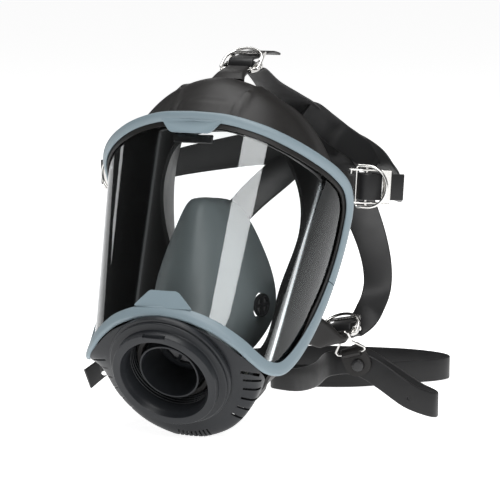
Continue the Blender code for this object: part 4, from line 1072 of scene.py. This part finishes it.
def area_light(name, spot, target, size, power):
    data = bpy.data.lights.new(name, "AREA")
    data.shape = "RECTANGLE"
    data.size, data.size_y = size
    data.energy = power
    obj = bpy.data.objects.new(name, data)
    bpy.context.scene.collection.objects.link(obj)
    obj.location = spot
    obj.rotation_euler = (Vector(target) - Vector(spot)).to_track_quat("-Z", "Y").to_euler()


AMBIENT = 0.07
FLOOR_GLOW = 0.90
FLOOR_RADIUS = 30.0
FLOOR_DROP = 0.0003
LIT_POINT = (0, 0, 0.12)
# Name, place, size and power of each softbox; all face the mask.
LIGHTS = (("strip_front", (0.72, -1.05, 1.35), (0.62, 1.5), 20),
          ("strip_left", (-1.55, 0.41, 0.9), (0.17, 1.5), 2),
          ("strip_right", (1.5, 0.55, 0.8), (0.12, 1.4), 1.1),
          ("rear_left", (-0.85, 1.45, 0.8), (0.18, 1.4), 1.2),
          ("rear_right", (1.15, 1.15, 0.8), (0.20, 1.4), 1.3),
          ("top", (0.0, 0.1, 1.7), (1.3, 0.9), 18))


def build_stage():
    """Pale floor, white backdrop and the softboxes."""
    bm = bmesh.new()
    bmesh.ops.create_circle(bm, cap_ends=True, segments=96, radius=FLOOR_RADIUS)
    mesh = bpy.data.meshes.new("floor")
    bm.to_mesh(mesh)
    bm.free()
    floor = bpy.data.objects.new("floor", mesh)
    bpy.context.scene.collection.objects.link(floor)
    floor.location.z = -FLOOR_DROP
    pale = surface("pale_floor", (0.86, 0.86, 0.86), 0.7, grain=(300, 0.02), mottle=(3, 0.01))
    glow = pale.node_tree.nodes["Principled BSDF"]
    glow.inputs["Emission Color"].default_value = (1, 1, 1, 1)
    glow.inputs["Emission Strength"].default_value = FLOOR_GLOW
    mesh.materials.append(pale)
    world = bpy.data.worlds.new("studio")
    bpy.context.scene.world = world
    world.use_nodes = True
    nodes, links = world.node_tree.nodes, world.node_tree.links
    nodes["Background"].inputs["Color"].default_value = (1, 1, 1, 1)
    # The backdrop is seen white, and lights the mask only softly.
    path = nodes.new("ShaderNodeLightPath")
    strength = nodes.new("ShaderNodeMapRange")
    strength.inputs["To Min"].default_value = AMBIENT
    strength.inputs["To Max"].default_value = 1.0
    links.new(path.outputs["Is Camera Ray"], strength.inputs["Value"])
    links.new(strength.outputs["Result"], nodes["Background"].inputs["Strength"])
    for name, spot, size, power in LIGHTS:
        area_light(name, spot, LIT_POINT, size, power)


CAMERA_AZIMUTH = math.radians(24)
CAMERA_ELEVATION = math.radians(8.5)
CAMERA_DISTANCE = 1.5
CAMERA_LENS = 162.0
DATUM_COLUMN = 196.2


IMAGE_WIDTH = 500


def build_camera():
    """A long lens, slightly above the mask and to its left of centre."""
    a, e = CAMERA_AZIMUTH, CAMERA_ELEVATION
    back = Vector((math.sin(a) * math.cos(e), -math.cos(a) * math.cos(e), math.sin(e)))
    right = Vector((math.cos(a), math.sin(a), 0))
    data = bpy.data.cameras.new("camera")
    data.lens = CAMERA_LENS
    data.sensor_width = 36.0
    data.shift_x = (IMAGE_WIDTH / 2 - DATUM_COLUMN) / IMAGE_WIDTH
    data.clip_start, data.clip_end = 0.05, 100
    camera = bpy.data.objects.new("camera", data)
    bpy.context.scene.collection.objects.link(camera)
    turn = Matrix((right, back.cross(right), back)).transposed().to_4x4()
    turn.translation = DATUM * MM + back * CAMERA_DISTANCE
    camera.matrix_world = turn
    bpy.context.scene.camera = camera


build_lens()
build_bezels()
build_seal()
build_housing()
build_inlet()
build_cup()
build_buckles()
build_harness()
build_neck_strap()
finish_nodes()
build_stage()
build_camera()
bpy.context.scene.view_settings.view_transform = "Standard"
